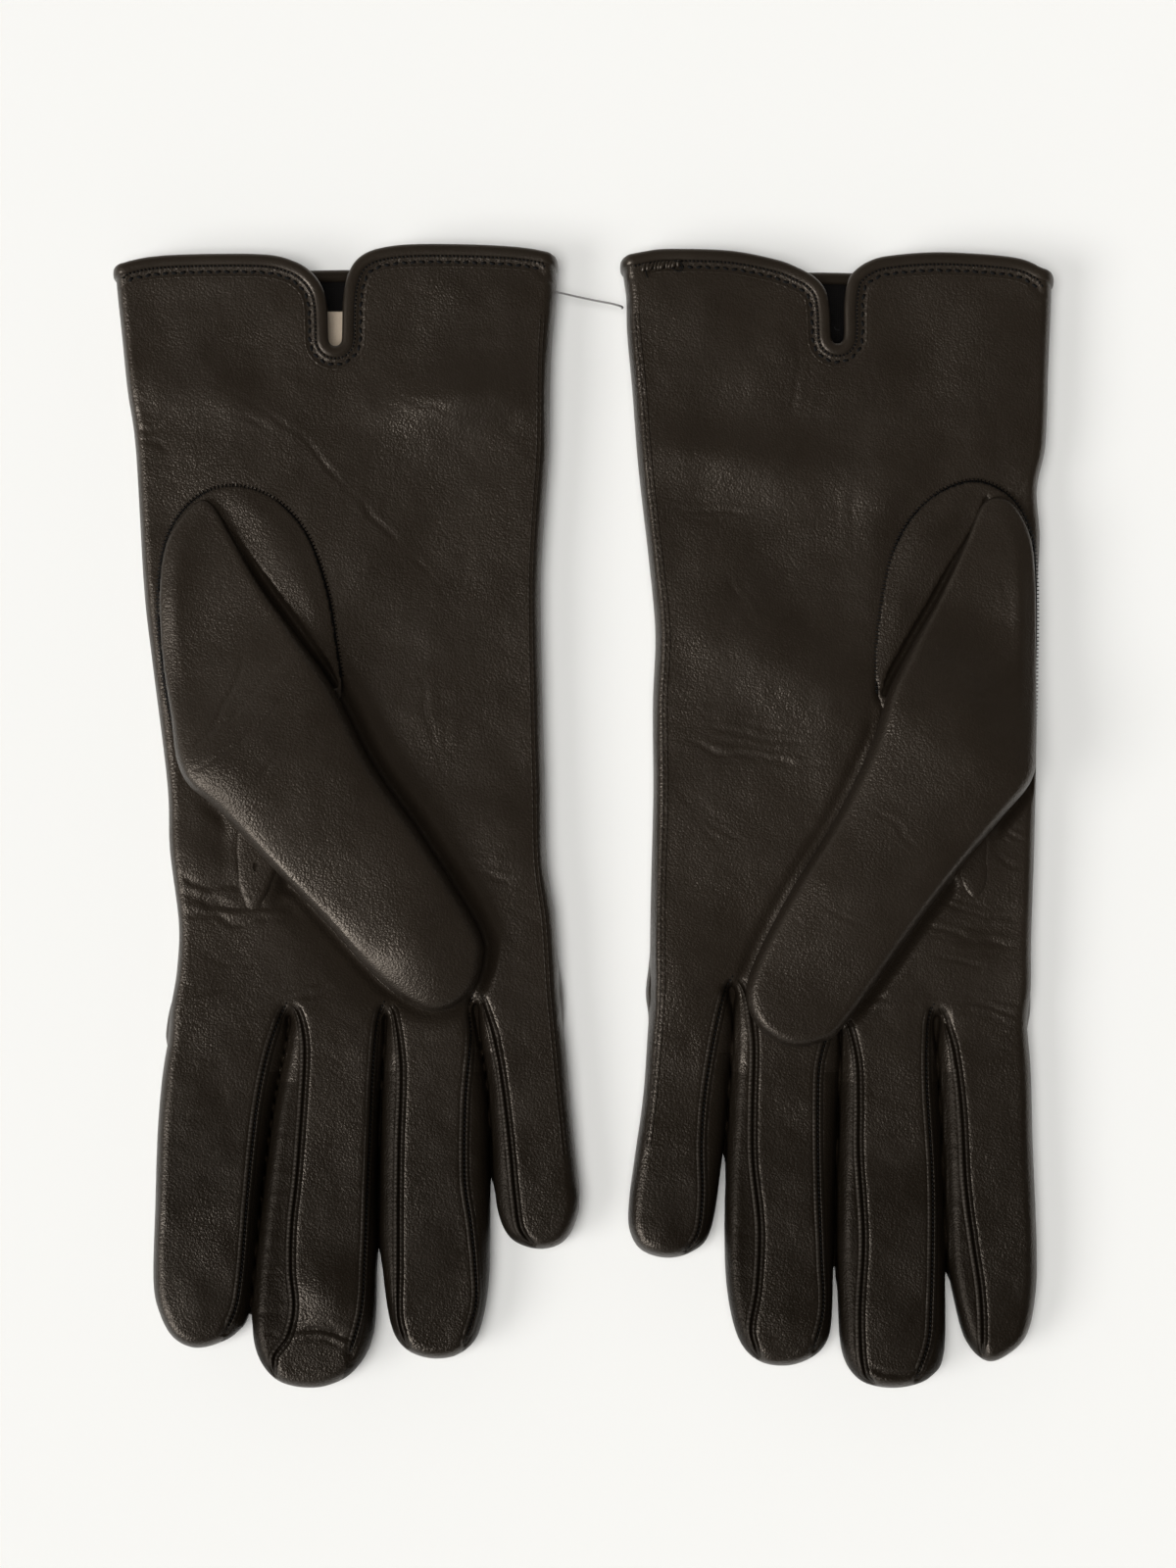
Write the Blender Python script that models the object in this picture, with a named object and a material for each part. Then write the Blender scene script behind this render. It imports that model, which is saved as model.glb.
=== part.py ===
"""A pair of leather dress gloves lying flat, palms up, fingers pointing to -Y, as separate closed solids.

Axes: +X right, +Y from the fingertips to the cuffs, +Z up. The origin is at the middle of the base.
Sizes in this file are millimetres, and each finished mesh is scaled to metres at the end.

Each glove is a flattened tube of leather with a lining inside it. Its leather is divided as a glover
divides it: one trank that wraps the palm and the back, fork-shaped fourchettes between the fingers, a
tongue-shaped quirk, a thumb in two parts, and a binding round the cuff. Each finger bends at its middle
knuckle and each thumb bends where it leaves its base, so both are cut there with a V-shaped gap.
"""

import math

import bpy
import numpy as np

MM_TO_M = 0.001

# Section of the flattened tube: overall height, edge radius, and the layers inside it.
HEIGHT = 12.6
EDGE_RADIUS = 5.5
LEATHER = 1.0
SEAM_GAP = 0.3
LINING_FROM = LEATHER + SEAM_GAP
LINING_TO = LINING_FROM + 0.7
ARC_STEPS = 3

# The thumb lies on the palm, a seam gap above it.
THUMB_BASE = HEIGHT + SEAM_GAP
THUMB_HEIGHT = 12.4
THUMB_RADIUS = 5.2
THUMB_TOP = THUMB_BASE + THUMB_HEIGHT
THUMB_HOLE_HALF = (10.5, 21.0)
THUMB_BASE_SLOPE = 0.6 / 56.0

# Bands cut out of the side walls for the fourchettes.
FORK_LOW = 1.6
FORK_HIGH = HEIGHT - 1.6
FORK_REACH = (14.0, 12.0, 9.0)
STUB_END_Y = -100.0

# Cuff: width of the bound edge, how proud it stands, and how far in its stitching runs.
BINDING_WIDTH = 2.9
BINDING_PROUD = 0.35
BINDING_DEPTH = 2.2
STITCH_INSET = 4.4
STITCH_END = 7.0
STITCH_WIDTH = 0.5
STITCH_HEIGHT = 0.3
STITCH_LIFT = 0.1

# Knuckle cuts: the axis height, the slit below it and half the opening of the V above it.
FINGER_AXIS_Z = 7.5
SLIT_HALF = 0.2
V_HALF = 4.9
THUMB_AXIS_Z = THUMB_BASE + 7.3

# The thread that ties the cuffs together, the hole it leaves the right cuff by, and the left glove's pivot.
TIE_RADIUS = 0.25
TIE_HOLE_RADIUS = 1.0
TIE_PIVOT = (9.5, 124.8, 0.0)

# Colour, roughness of each material; none is metallic.
FINISHES = {
    "leather": ((0.028, 0.023, 0.019), 0.42),
    "binding_leather": ((0.030, 0.025, 0.021), 0.38),
    "lining": ((0.012, 0.011, 0.011), 0.9),
    "thread": ((0.010, 0.009, 0.008), 0.7),
    "label_cloth": ((0.62, 0.52, 0.42), 0.85),
}
SMOOTH_ANGLE = math.radians(35)

RIGHT_GLOVE = {
    "name": "right",
    # Palm and the four finger stubs, counter-clockwise from the top left corner, beyond the cuff.
    "palm": [
        (-114.5, 150), (-114.5, 130), (-113, 118.5), (-111.5, 104), (-109.5, 89.5), (-107.5, 56),
        (-105.5, 38), (-101.8, 8), (-101.5, -8), (-99, -27), (-99.5, -38), (-102, -55.5), (-104, -74),
        (-104.2, -80), (-77.5, -80), (-76.4, -71), (-72.2, -47.5), (-71.2, -47.5), (-75.4, -71),
        (-76.8, -82), (-50.5, -82), (-50.1, -71), (-48.6, -47), (-47.6, -47), (-49.2, -71),
        (-49.6, -80), (-23.2, -80), (-24.1, -66), (-27, -44.5), (-26, -44.5), (-23.1, -66),
        (-22.6, -75), (-2.7, -75), (-3.5, -66.5), (-4.5, -55.5), (-6, -45), (-7, -25.5), (-9, -11.5),
        (-9.5, 8), (-10, 27), (-10.5, 56), (-9.5, 75), (-8.5, 89.5), (-8, 112), (-6.8, 126), (-6.8, 150),
    ],
    # Each finger beyond its stub, counter-clockwise, with the sides that carry a fourchette.
    "fingers": {
        "index": {
            "outline": [
                (-102.8, -62), (-104, -74), (-104.8, -96), (-105.2, -114), (-103.5, -122),
                (-100.3, -127.5), (-95.2, -130), (-89.5, -129), (-84.5, -126), (-81.8, -120),
                (-79.2, -93), (-77.4, -79), (-74.6, -62),
            ],
            "hinge_y": -71.3,
            "fourchettes": ("right",),
        },
        "middle": {
            "outline": [
                (-73.2, -62), (-75.4, -71), (-76.6, -80), (-77.8, -90), (-80, -110), (-81, -124),
                (-79.6, -132), (-75.5, -137.5), (-69.5, -139.6), (-62.5, -139.2), (-56, -135.5),
                (-51.5, -127), (-50.7, -110), (-50.7, -88), (-50.5, -80), (-49.8, -62),
            ],
            "hinge_y": -73.7,
            "fourchettes": ("left", "right"),
        },
        "ring": {
            "outline": [
                (-48.9, -62), (-49.6, -80), (-49.6, -96), (-49.2, -110), (-47.2, -124), (-43.8, -130),
                (-38, -132.5), (-31.5, -132), (-26.8, -128.5), (-24.6, -123), (-23.2, -114),
                (-22.9, -104), (-22.9, -88), (-23.2, -80), (-24.4, -62),
            ],
            "hinge_y": -71.3,
            "fourchettes": ("left", "right"),
        },
        "little": {
            "outline": [
                (-24.2, -57), (-23.1, -66), (-22.3, -80), (-21.9, -88), (-21, -98), (-17.5, -103.5),
                (-11.5, -105.8), (-6, -104.8), (-2.6, -101), (-0.7, -94), (-1.5, -87), (-3.2, -70),
                (-4.5, -57),
            ],
            "hinge_y": -66.5,
            "fourchettes": ("left",),
        },
    },
    "crotches": [(-71.7, -47.5), (-48.1, -47), (-26.5, -44.5)],
    # Middle of the gap between each two fingers, from left to right: X at Y -60 and at Y -80.
    "gap_lines": [(-74.0, -77.0), (-49.3, -50.05), (-24.3, -22.8)],
    # Thumb and its oval base, counter-clockwise from the top of the oval.
    "thumb": [
        (-86, 80.5), (-94.5, 77.5), (-101.5, 67), (-103.5, 54), (-102.5, 38), (-100.3, 24), (-97.5, 11),
        (-91.5, 5.5), (-86, -1.5), (-74.3, -13.4), (-63.2, -24.7), (-51.2, -38), (-41.5, -46),
        (-34, -47.5), (-26.8, -42.5), (-24, -34.5), (-25.5, -26), (-39, -5.2), (-51, 12.2), (-59.5, 27),
        (-60, 38), (-62.3, 54.5), (-68, 70), (-76, 77.8),
    ],
    "thumb_bend": (-78.7, 22.3),
    "thumb_way": (0.59, -0.81),
    "thumb_hole": (-82.5, 50),
    "quirk": [(-84, -2), (-84.5, -13.5), (-82, -21.3), (-77.5, -20), (-74, -12), (-72, -2)],
    # Cuff edge of the palm side from left to right, its round-bottomed notch, and the back's edge.
    "cuff_left": [
        (-114.5, 132.5), (-111.5, 135), (-103.5, 136.5), (-90, 137), (-76, 137), (-69.5, 135.5),
        (-66, 133), (-63.5, 129.5), (-62.4, 125),
    ],
    "notch_centre": (-60.5, 116.2),
    "notch_radius": 1.75,
    "cuff_right": [
        (-58.5, 126), (-57.7, 131.5), (-55.5, 136), (-50, 138.5), (-40, 139.6), (-20.5, 139),
        (-9.5, 138), (-6.8, 135.2),
    ],
    "cuff_back": [(-114.5, 132.5), (-95, 133.2), (-63.5, 134.2), (-35, 134.4), (-6.8, 135.2)],
    # Side seam, down the little finger's side of the palm.
    "side_seam": [
        (-7.2, 122), (-8, 112), (-8.5, 89.5), (-9.5, 75), (-10.5, 56), (-10, 27), (-9.5, 8), (-9, -11.5),
        (-7, -25.5), (-6, -45), (-4.5, -55.5), (-3.9, -61),
    ],
    "side_seam_out": 1.0,
}

LEFT_GLOVE = {
    "name": "left",
    "palm": [
        (9.5, 150), (9.5, 135), (10.5, 129), (10.5, 118.5), (12, 104), (13.5, 85), (16, 63), (17.8, 45),
        (17, 27), (17.3, 5), (16.5, -20), (16.5, -42), (15.5, -56), (14.5, -70), (13.8, -75),
        (34.4, -75), (35.3, -64), (36.3, -40), (37.3, -40), (36.2, -64), (35.6, -80), (61.5, -80),
        (61.8, -71), (62.4, -50.5), (63.3, -50.5), (62.7, -71), (62.4, -82), (87.6, -82), (87, -71),
        (85.3, -47.5), (86.3, -47.5), (87.9, -71), (88.3, -80), (110, -80), (109.6, -66), (109.2, -50),
        (109.6, -30), (110.3, -5), (110.8, 20), (111, 50), (111.8, 70), (111, 80), (113, 90),
        (113.7, 110), (114.5, 128), (114.5, 150),
    ],
    "fingers": {
        "little": {
            "outline": [
                (15.6, -57), (14.7, -68), (12.5, -84), (11.2, -94), (11.2, -101), (14, -106),
                (20.2, -108), (26.5, -106.5), (31, -101.5), (33.6, -86), (35.2, -66), (35.6, -57),
            ],
            "hinge_y": -66.5,
            "fourchettes": ("right",),
        },
        "ring": {
            "outline": [
                (36.3, -62), (35.5, -82), (34.6, -101.5), (35.2, -116), (37.8, -127.5), (42.5, -133),
                (49, -134.4), (55, -132.8), (59.2, -129), (60.8, -121.5), (61.1, -98.5), (61.6, -76),
                (61.9, -62),
            ],
            "hinge_y": -71.3,
            "fourchettes": ("left", "right"),
        },
        "middle": {
            "outline": [
                (62.9, -62), (62.5, -76), (62, -98.5), (62.4, -116), (63.2, -130.5), (66.5, -137),
                (72, -139.5), (79, -139.5), (85, -137), (88.4, -131), (88.6, -112), (87.9, -88),
                (87.3, -76), (86.7, -62),
            ],
            "hinge_y": -73.7,
            "fourchettes": ("left", "right"),
        },
        "index": {
            "outline": [
                (87.6, -62), (88.2, -76), (88.8, -88), (89.4, -107), (91.2, -120), (94, -129),
                (98.8, -133.3), (104, -131.5), (108.3, -127), (110.3, -119), (110.9, -107),
                (109.9, -80), (109.5, -62),
            ],
            "hinge_y": -71.3,
            "fourchettes": ("left",),
        },
    },
    "crotches": [(36.8, -40), (62.9, -50.5), (85.8, -47.5)],
    "gap_lines": [(36.0, 34.8), (62.6, 61.95), (86.7, 87.9)],
    "thumb": [
        (96, 81.5), (87.5, 79), (80, 73.5), (75, 63), (72, 50), (71, 36), (73.5, 25.5), (61.3, 0),
        (50, -18.5), (41.3, -35.5), (39.2, -44), (42.5, -51.5), (50, -56), (57.5, -55), (63.3, -50.8),
        (79.3, -28), (90.4, -13.4), (101.4, -0.2), (109, 9), (110.3, 18), (110.5, 40), (110.5, 60),
        (108.8, 70.5), (104, 77.5),
    ],
    "thumb_bend": (90.5, 20.5),
    "thumb_way": (-0.55, -0.835),
    "thumb_hole": (91.5, 50),
    "quirk": [(88.5, -3), (92, -17), (95.3, -20.3), (98.3, -17), (99, -3)],
    "cuff_left": [
        (9.5, 135), (10.8, 136.6), (15, 137.6), (20.5, 138.4), (35.5, 138), (47, 135.6), (52.5, 133.5),
        (56.5, 131.5), (58.8, 128.5), (59.9, 125),
    ],
    "notch_centre": (61.85, 116.7),
    "notch_radius": 1.65,
    "cuff_right": [
        (63.6, 126), (64.6, 131), (66.5, 133.4), (70, 135.4), (75, 136.6), (87.5, 137.5),
        (104.5, 136.4), (111.5, 134), (114.5, 130.5),
    ],
    "cuff_back": [(9.5, 135), (39.5, 133.6), (62, 133.4), (90, 132.2), (114.5, 130.5)],
    "side_seam": [
        (10.5, 118), (12, 104), (13.5, 85), (16, 63), (17.8, 45), (17, 27), (17.3, 5), (16.5, -20),
        (16.5, -42), (15.5, -56), (15.1, -61),
    ],
    "side_seam_out": -1.0,
}

# Cloth label sewn inside the right glove's cuff, under the notch: low corner and high corner.
LABEL_LOW = (-68.0, 107.0, 2.1)
LABEL_HIGH = (-53.5, 124.0, 2.4)

# Tie thread: from inside the right cuff, out through its side and across to an end by the left cuff.
TIE_ROUTE = [
    (-17.5, 129.8, 7.6), (-12.0, 129.0, 8.3), (-6.8, 128.2, 8.3), (-2.0, 127.2, 7.4), (3.0, 126.2, 7.0),
    (7.0, 125.4, 7.4), (8.9, 124.9, 7.0), (9.5, 124.8, 5.6), (9.5, 124.8, 2.6),
]
TIE_POINTS_PER_STRETCH = 3
TIE_HOLE = [(-13.5, 129.2, 8.3), (-4.0, 127.8, 8.3)]


def clear_scene():
    for item in list(bpy.data.objects):
        bpy.data.objects.remove(item, do_unlink=True)


def add_solid(name, points, faces):
    mesh = bpy.data.meshes.new(name)
    mesh.from_pydata([tuple(map(float, point)) for point in points], [], faces)
    mesh.update()
    solid = bpy.data.objects.new(name, mesh)
    bpy.context.scene.collection.objects.link(solid)
    return solid


def unit(vectors):
    return vectors / np.linalg.norm(vectors, axis=-1, keepdims=True)


def inset_outline(outline, inset):
    """The counter-clockwise outline moved inwards by inset, with mitred corners."""
    points = np.array(outline, float)
    before = unit(points - np.roll(points, 1, axis=0))
    after = unit(np.roll(points, -1, axis=0) - points)
    inward_before = np.stack([-before[:, 1], before[:, 0]], axis=1)
    inward_after = np.stack([-after[:, 1], after[:, 0]], axis=1)
    middle = unit(inward_before + inward_after)
    reach = inset / (middle * inward_after).sum(axis=1)
    return points + middle * reach[:, None]


def inset_path(path, inset):
    """The open path moved by inset to the right of its direction, with mitred corners."""
    points = np.array(path, float)
    ways = unit(np.diff(points, axis=0))
    before = np.vstack([ways[:1], ways])
    after = np.vstack([ways, ways[-1:]])
    right_before = np.stack([before[:, 1], -before[:, 0]], axis=1)
    right_after = np.stack([after[:, 1], -after[:, 0]], axis=1)
    middle = unit(right_before + right_after)
    reach = inset / (middle * right_after).sum(axis=1)
    return points + middle * reach[:, None]


def stack(rings):
    """A closed solid through rings of equal length, listed from the bottom up."""
    count = len(rings[0])
    faces = [list(range(count))[::-1]]
    for level in range(len(rings) - 1):
        low = level * count
        for corner in range(count):
            turn = (corner + 1) % count
            faces.append([low + corner, low + turn, low + count + turn, low + count + corner])
    top = (len(rings) - 1) * count
    faces.append([top + corner for corner in range(count)])
    return np.vstack(rings), faces


def prism(outline, low, high, name="tool"):
    flat = np.array(outline, float)
    rings = [np.column_stack([flat, np.full(len(flat), level)]) for level in (low, high)]
    return add_solid(name, *stack(rings))


def rounded(outline, low, high, radius, inset, name="tool"):
    """A prism with its top and bottom edges rounded, shrunk on every side by inset."""
    rings = []
    arc = radius - inset
    for step in range(ARC_STEPS + 1):
        angle = math.pi / 2 * step / ARC_STEPS
        flat = inset_outline(outline, radius - arc * math.sin(angle))
        rings.append(np.column_stack([flat, np.full(len(flat), low + radius - arc * math.cos(angle))]))
    for step in range(ARC_STEPS, -1, -1):
        angle = math.pi / 2 * step / ARC_STEPS
        flat = inset_outline(outline, radius - arc * math.sin(angle))
        rings.append(np.column_stack([flat, np.full(len(flat), high - radius + arc * math.cos(angle))]))
    return add_solid(name, *stack(rings))


def box(low, high, name="tool"):
    outline = [(low[0], low[1]), (high[0], low[1]), (high[0], high[1]), (low[0], high[1])]
    return prism(outline, low[2], high[2], name)


def thread_curve(route, radius, name):
    """A round cord on a smooth curve through the route's points, in metres as it stands."""
    points = np.array(route, float)
    padded = np.vstack([2 * points[0] - points[1], points, 2 * points[-1] - points[-2]])
    smooth = []
    for index in range(1, len(padded) - 2):
        before, start, end, after = padded[index - 1 : index + 3]
        for step in range(TIE_POINTS_PER_STRETCH):
            t = step / TIE_POINTS_PER_STRETCH
            line = 2 * start + (end - before) * t
            bend = (2 * before - 5 * start + 4 * end - after) * t**2
            turn = (3 * start - before - 3 * end + after) * t**3
            smooth.append((line + bend + turn) / 2)
    smooth.append(points[-1])
    curve = bpy.data.curves.new(name, "CURVE")
    curve.dimensions = "3D"
    curve.bevel_depth = radius * MM_TO_M
    curve.bevel_resolution = 2
    curve.use_fill_caps = True
    spline = curve.splines.new("POLY")
    spline.points.add(len(smooth) - 1)
    for target, point in zip(spline.points, smooth):
        target.co = (*(point * MM_TO_M), 1.0)
    cord = bpy.data.objects.new(name, curve)
    bpy.context.scene.collection.objects.link(cord)
    return cord


def thread_hole():
    """A square hole a little wider than the thread, along its way out of the cuff."""
    start, end = np.array(TIE_HOLE)
    way = unit(end - start)
    across = unit(np.cross(way, (0.0, 0.0, 1.0)))
    lift = np.cross(across, way)
    corners = [across + lift, across - lift, -across - lift, -across + lift]
    rings = [np.array([point + corner * TIE_HOLE_RADIUS for corner in corners]) for point in (start, end)]
    return add_solid("tool", *stack(rings))


def remove(*items):
    for item in items:
        mesh = item.data
        bpy.data.objects.remove(item, do_unlink=True)
        bpy.data.meshes.remove(mesh)


def facing_out(body):
    """Turns every face over if the solid is inside out."""
    mesh = body.data
    mesh.calc_loop_triangles()
    points = np.array([vertex.co for vertex in mesh.vertices])
    corners = points[[list(triangle.vertices) for triangle in mesh.loop_triangles]]
    if np.linalg.det(corners).sum() < 0:
        mesh.flip_normals()
    return body


def combine(body, operation, tools):
    for tool in tools:
        modifier = body.modifiers.new("combine", "BOOLEAN")
        modifier.operation = operation
        modifier.solver = "EXACT"
        modifier.object = facing_out(tool)
    bpy.context.view_layer.update()
    graph = bpy.context.evaluated_depsgraph_get()
    mesh = bpy.data.meshes.new_from_object(body.evaluated_get(graph))
    body.modifiers.clear()
    old = body.data
    body.data = mesh
    bpy.data.meshes.remove(old)
    return body


def cut(body, *tools):
    combine(facing_out(body), "DIFFERENCE", tools)
    remove(*tools)
    return body


def keep(body, tool):
    combine(facing_out(body), "INTERSECT", [tool])
    remove(tool)
    return body


def copy_of(body, name):
    twin = bpy.data.objects.new(name, body.data.copy())
    bpy.context.scene.collection.objects.link(twin)
    return twin


def palm_edge(glove):
    """The cuff's edge on the palm side from left to right, round the bottom of its notch."""
    centre_x, centre_y = glove["notch_centre"]
    radius = glove["notch_radius"]
    turns = [math.pi * (1 + step / 6) for step in range(7)]
    arc = [(centre_x + radius * math.cos(turn), centre_y + radius * math.sin(turn)) for turn in turns]
    return [*glove["cuff_left"], *arc, *glove["cuff_right"]]


def beyond_cuff(edge, inset, low, high):
    """Everything past a cuff edge that has been moved inwards by inset."""
    line = inset_path(edge, inset)
    start, end = line[0], line[-1]
    outline = [(start[0] - 20, start[1]), *map(tuple, line), (end[0] + 20, end[1])]
    outline += [(end[0] + 20, 170), (start[0] - 20, 170)]
    return prism(outline, low, high)


def cuff_band(edge, inset, low, high):
    """The strip of given width just inside a cuff edge."""
    outer = np.array(edge, float)
    inner = inset_path(edge, inset)
    outline = [(inner[0][0] - 20, inner[0][1]), *map(tuple, inner), (inner[-1][0] + 20, inner[-1][1])]
    outline += [(outer[-1][0] + 20, outer[-1][1]), *map(tuple, outer[::-1])]
    outline += [(outer[0][0] - 20, outer[0][1])]
    return prism(outline, low, high)


def knuckle_profile(axis_z, top, low, reach):
    """Half of a V-shaped cut: (distance, Z) pairs, upright up to the axis and slanting away above it."""
    near_side = [(-SLIT_HALF, low), (-SLIT_HALF, axis_z - 0.5), (-V_HALF, top + 1.0)]
    return near_side + [(reach, top + 1.0), (reach, low)]


def knuckle_cutter(point, way, axis_z, top, side, low=-5.0, half_width=60.0, reach=160.0):
    """Removes one side of a bend at point: side +1 takes what lies beyond it, -1 what is before."""
    along = np.array(way, float)
    across = np.array([along[1], -along[0]])
    rings = []
    for offset in (-half_width, half_width):
        ring = []
        for distance, z in knuckle_profile(axis_z, top, low, reach):
            flat = np.array(point, float) + along * distance * side + across * offset
            ring.append((flat[0], flat[1], z))
        rings.append(np.array(ring))
    return add_solid("tool", *stack(rings))


def fingers_from_left(glove):
    fingers = glove["fingers"]
    return sorted(fingers, key=lambda key: min(x for x, _ in fingers[key]["outline"]))


def stub_cutters(glove):
    """One cutter per finger, which ends its stub on the palm's side of the knuckle."""
    xs = [x for x, _ in glove["palm"]]
    limits = [(min(xs) - 10, min(xs) - 10), *glove["gap_lines"], (max(xs) + 10, max(xs) + 10)]
    cutters = []
    for place, name in enumerate(fingers_from_left(glove)):
        hinge = glove["fingers"][name]["hinge_y"]
        rings = []
        for at_60, at_80 in (limits[place], limits[place + 1]):
            ring = []
            for distance, z in knuckle_profile(FINGER_AXIS_Z, HEIGHT, -5.0, 30.0):
                y = hinge - distance
                share = min(max((-60.0 - y) / 20.0, 0.0), 1.5)
                ring.append((at_60 + (at_80 - at_60) * share, y, z))
            rings.append(np.array(ring))
        cutters.append(add_solid("tool", *stack(rings)))
    return cutters


def thumb_hole(glove, low, high, sides=16):
    """An oval cutter where the hand's thumb leaves the palm."""
    x, y = glove["thumb_hole"]
    half_x, half_y = THUMB_HOLE_HALF
    turns = [2 * math.pi * corner / sides for corner in range(sides)]
    return prism([(x + half_x * math.cos(turn), y + half_y * math.sin(turn)) for turn in turns], low, high)


def build_palm(glove):
    """Trank, forks, quirk and lining of the palm, which all share one flattened tube."""
    name = glove["name"]
    outline = glove["palm"]
    middle = HEIGHT / 2

    def layer(inset_out, inset_in, label):
        body = rounded(outline, 0, HEIGHT, EDGE_RADIUS, inset_out, label)
        cuff_inset = BINDING_WIDTH + SEAM_GAP
        palm_end = beyond_cuff(palm_edge(glove), cuff_inset, middle, 30)
        back_end = beyond_cuff(glove["cuff_back"], cuff_inset, -10, middle)
        cut(body, *stub_cutters(glove), palm_end, back_end)
        cut(body, rounded(outline, 0, HEIGHT, EDGE_RADIUS, inset_in))
        return body

    trank = layer(0, LEATHER, f"{name}_trank")
    for index, (x, y) in enumerate(glove["crotches"]):
        low = np.array((x - FORK_REACH[0], STUB_END_Y, FORK_LOW))
        high = np.array((x + FORK_REACH[1], y + FORK_REACH[2], FORK_HIGH))
        fork = copy_of(trank, f"{name}_fork_{index + 1}")
        keep(fork, box(low, high))
        cut(trank, box(low - SEAM_GAP, high + SEAM_GAP))
    quirk = copy_of(trank, f"{name}_quirk")
    keep(quirk, prism(inset_outline(glove["quirk"], SEAM_GAP), middle, 30))
    thread_tools = [thread_hole()] if name == "right" else []
    cut(trank, prism(glove["quirk"], middle, 30), thumb_hole(glove, middle, 30), *thread_tools)

    lining = layer(LINING_FROM, LINING_TO, f"{name}_palm_lining")
    thread_tools = [thread_hole()] if name == "right" else []
    cut(lining, thumb_hole(glove, middle, 30), *thread_tools)


def build_cuff(glove):
    name = glove["name"]
    middle = HEIGHT / 2
    grown = inset_outline(glove["palm"], -BINDING_PROUD)
    halves = []
    for edge, low, high in ((palm_edge(glove), middle, 30), (glove["cuff_back"], -10, middle)):
        half = rounded(grown, 0, HEIGHT + BINDING_PROUD, EDGE_RADIUS, 0, f"{name}_cuff_binding")
        keep(half, cuff_band(edge, BINDING_WIDTH, low, high))
        cut(half, rounded(glove["palm"], 0, HEIGHT, EDGE_RADIUS, BINDING_DEPTH))
        halves.append(half)
    binding, back = halves
    combine(facing_out(binding), "UNION", [back])
    remove(back)
    binding.name = f"{name}_cuff_binding"

    edge = palm_edge(glove)
    low_x, high_x = edge[0][0] + STITCH_END, edge[-1][0] - STITCH_END
    line = [tuple(point) for point in inset_path(edge, STITCH_INSET) if low_x < point[0] < high_x]
    stitch_low = HEIGHT + STITCH_LIFT
    ribbon(line, STITCH_WIDTH, stitch_low, stitch_low + STITCH_HEIGHT, f"{name}_cuff_stitching")


def ribbon(path, width, low, high, name):
    left = inset_path(path, -width / 2)
    right = inset_path(path, width / 2)
    return prism([*map(tuple, right), *map(tuple, left[::-1])], low, high, name)


def build_side_seam(glove):
    """A fine ridge of thread just outside the side wall."""
    out = glove["side_seam_out"]
    path = glove["side_seam"]
    inner = inset_path(path, -out * 0.1)
    outer = inset_path(path, -out * 0.5)
    outline = [*map(tuple, inner), *map(tuple, outer[::-1])]
    prism(outline, HEIGHT / 2 - 0.3, HEIGHT / 2 + 0.3, f"{glove['name']}_side_seam")


def build_finger(glove, finger_name):
    prefix = f"{glove['name']}_{finger_name}"
    finger = glove["fingers"][finger_name]
    outline = finger["outline"]
    centre = (min(x for x, _ in outline) + max(x for x, _ in outline)) / 2
    hinge = (centre, finger["hinge_y"])
    gap = SEAM_GAP / 2

    def layer(inset_out, inset_in, label):
        body = rounded(outline, 0, HEIGHT, EDGE_RADIUS, inset_out, label)
        cut(body, knuckle_cutter(hinge, (0, -1), FINGER_AXIS_Z, HEIGHT, -1))
        cut(body, rounded(outline, 0, HEIGHT, EDGE_RADIUS, inset_in))
        return body

    layer(LINING_FROM, LINING_TO, f"{prefix}_lining")
    shell = layer(0, LEATHER, f"{prefix}_shell")
    for side in finger["fourchettes"]:
        label = f"{prefix}_fourchette" if len(finger["fourchettes"]) == 1 else f"{prefix}_fourchette_{side}"
        strip = copy_of(shell, label)
        low_x, high_x = (centre - 40, centre - gap) if side == "left" else (centre + gap, centre + 40)
        keep(strip, box((low_x, -200, FORK_LOW), (high_x, 0, FORK_HIGH)))
    low_x = centre - 40 if "left" in finger["fourchettes"] else centre - gap
    high_x = centre + 40 if "right" in finger["fourchettes"] else centre + gap
    cut(shell, box((low_x, -200, FORK_LOW - SEAM_GAP), (high_x, 0, FORK_HIGH + SEAM_GAP)))
    if finger_name == "index":
        shell.name = f"{prefix}_trank"
        return
    palmar = copy_of(shell, f"{prefix}_front")
    keep(palmar, box((centre - 40, -200, HEIGHT / 2 + gap), (centre + 40, 0, 40)))
    keep(shell, box((centre - 40, -200, -10), (centre + 40, 0, HEIGHT / 2 - gap)))
    shell.name = f"{prefix}_back"


def slope_base(body, bend, way):
    """Lowers the thumb's base towards the top of its oval, in proportion to the distance from the bend."""
    for vertex in body.data.vertices:
        x, y, z = vertex.co
        along = (x - bend[0]) * way[0] + (y - bend[1]) * way[1]
        share = 1.0 + THUMB_BASE_SLOPE * min(along, 0.0)
        vertex.co = (x, y, THUMB_BASE + (z - THUMB_BASE) * share)


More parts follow.
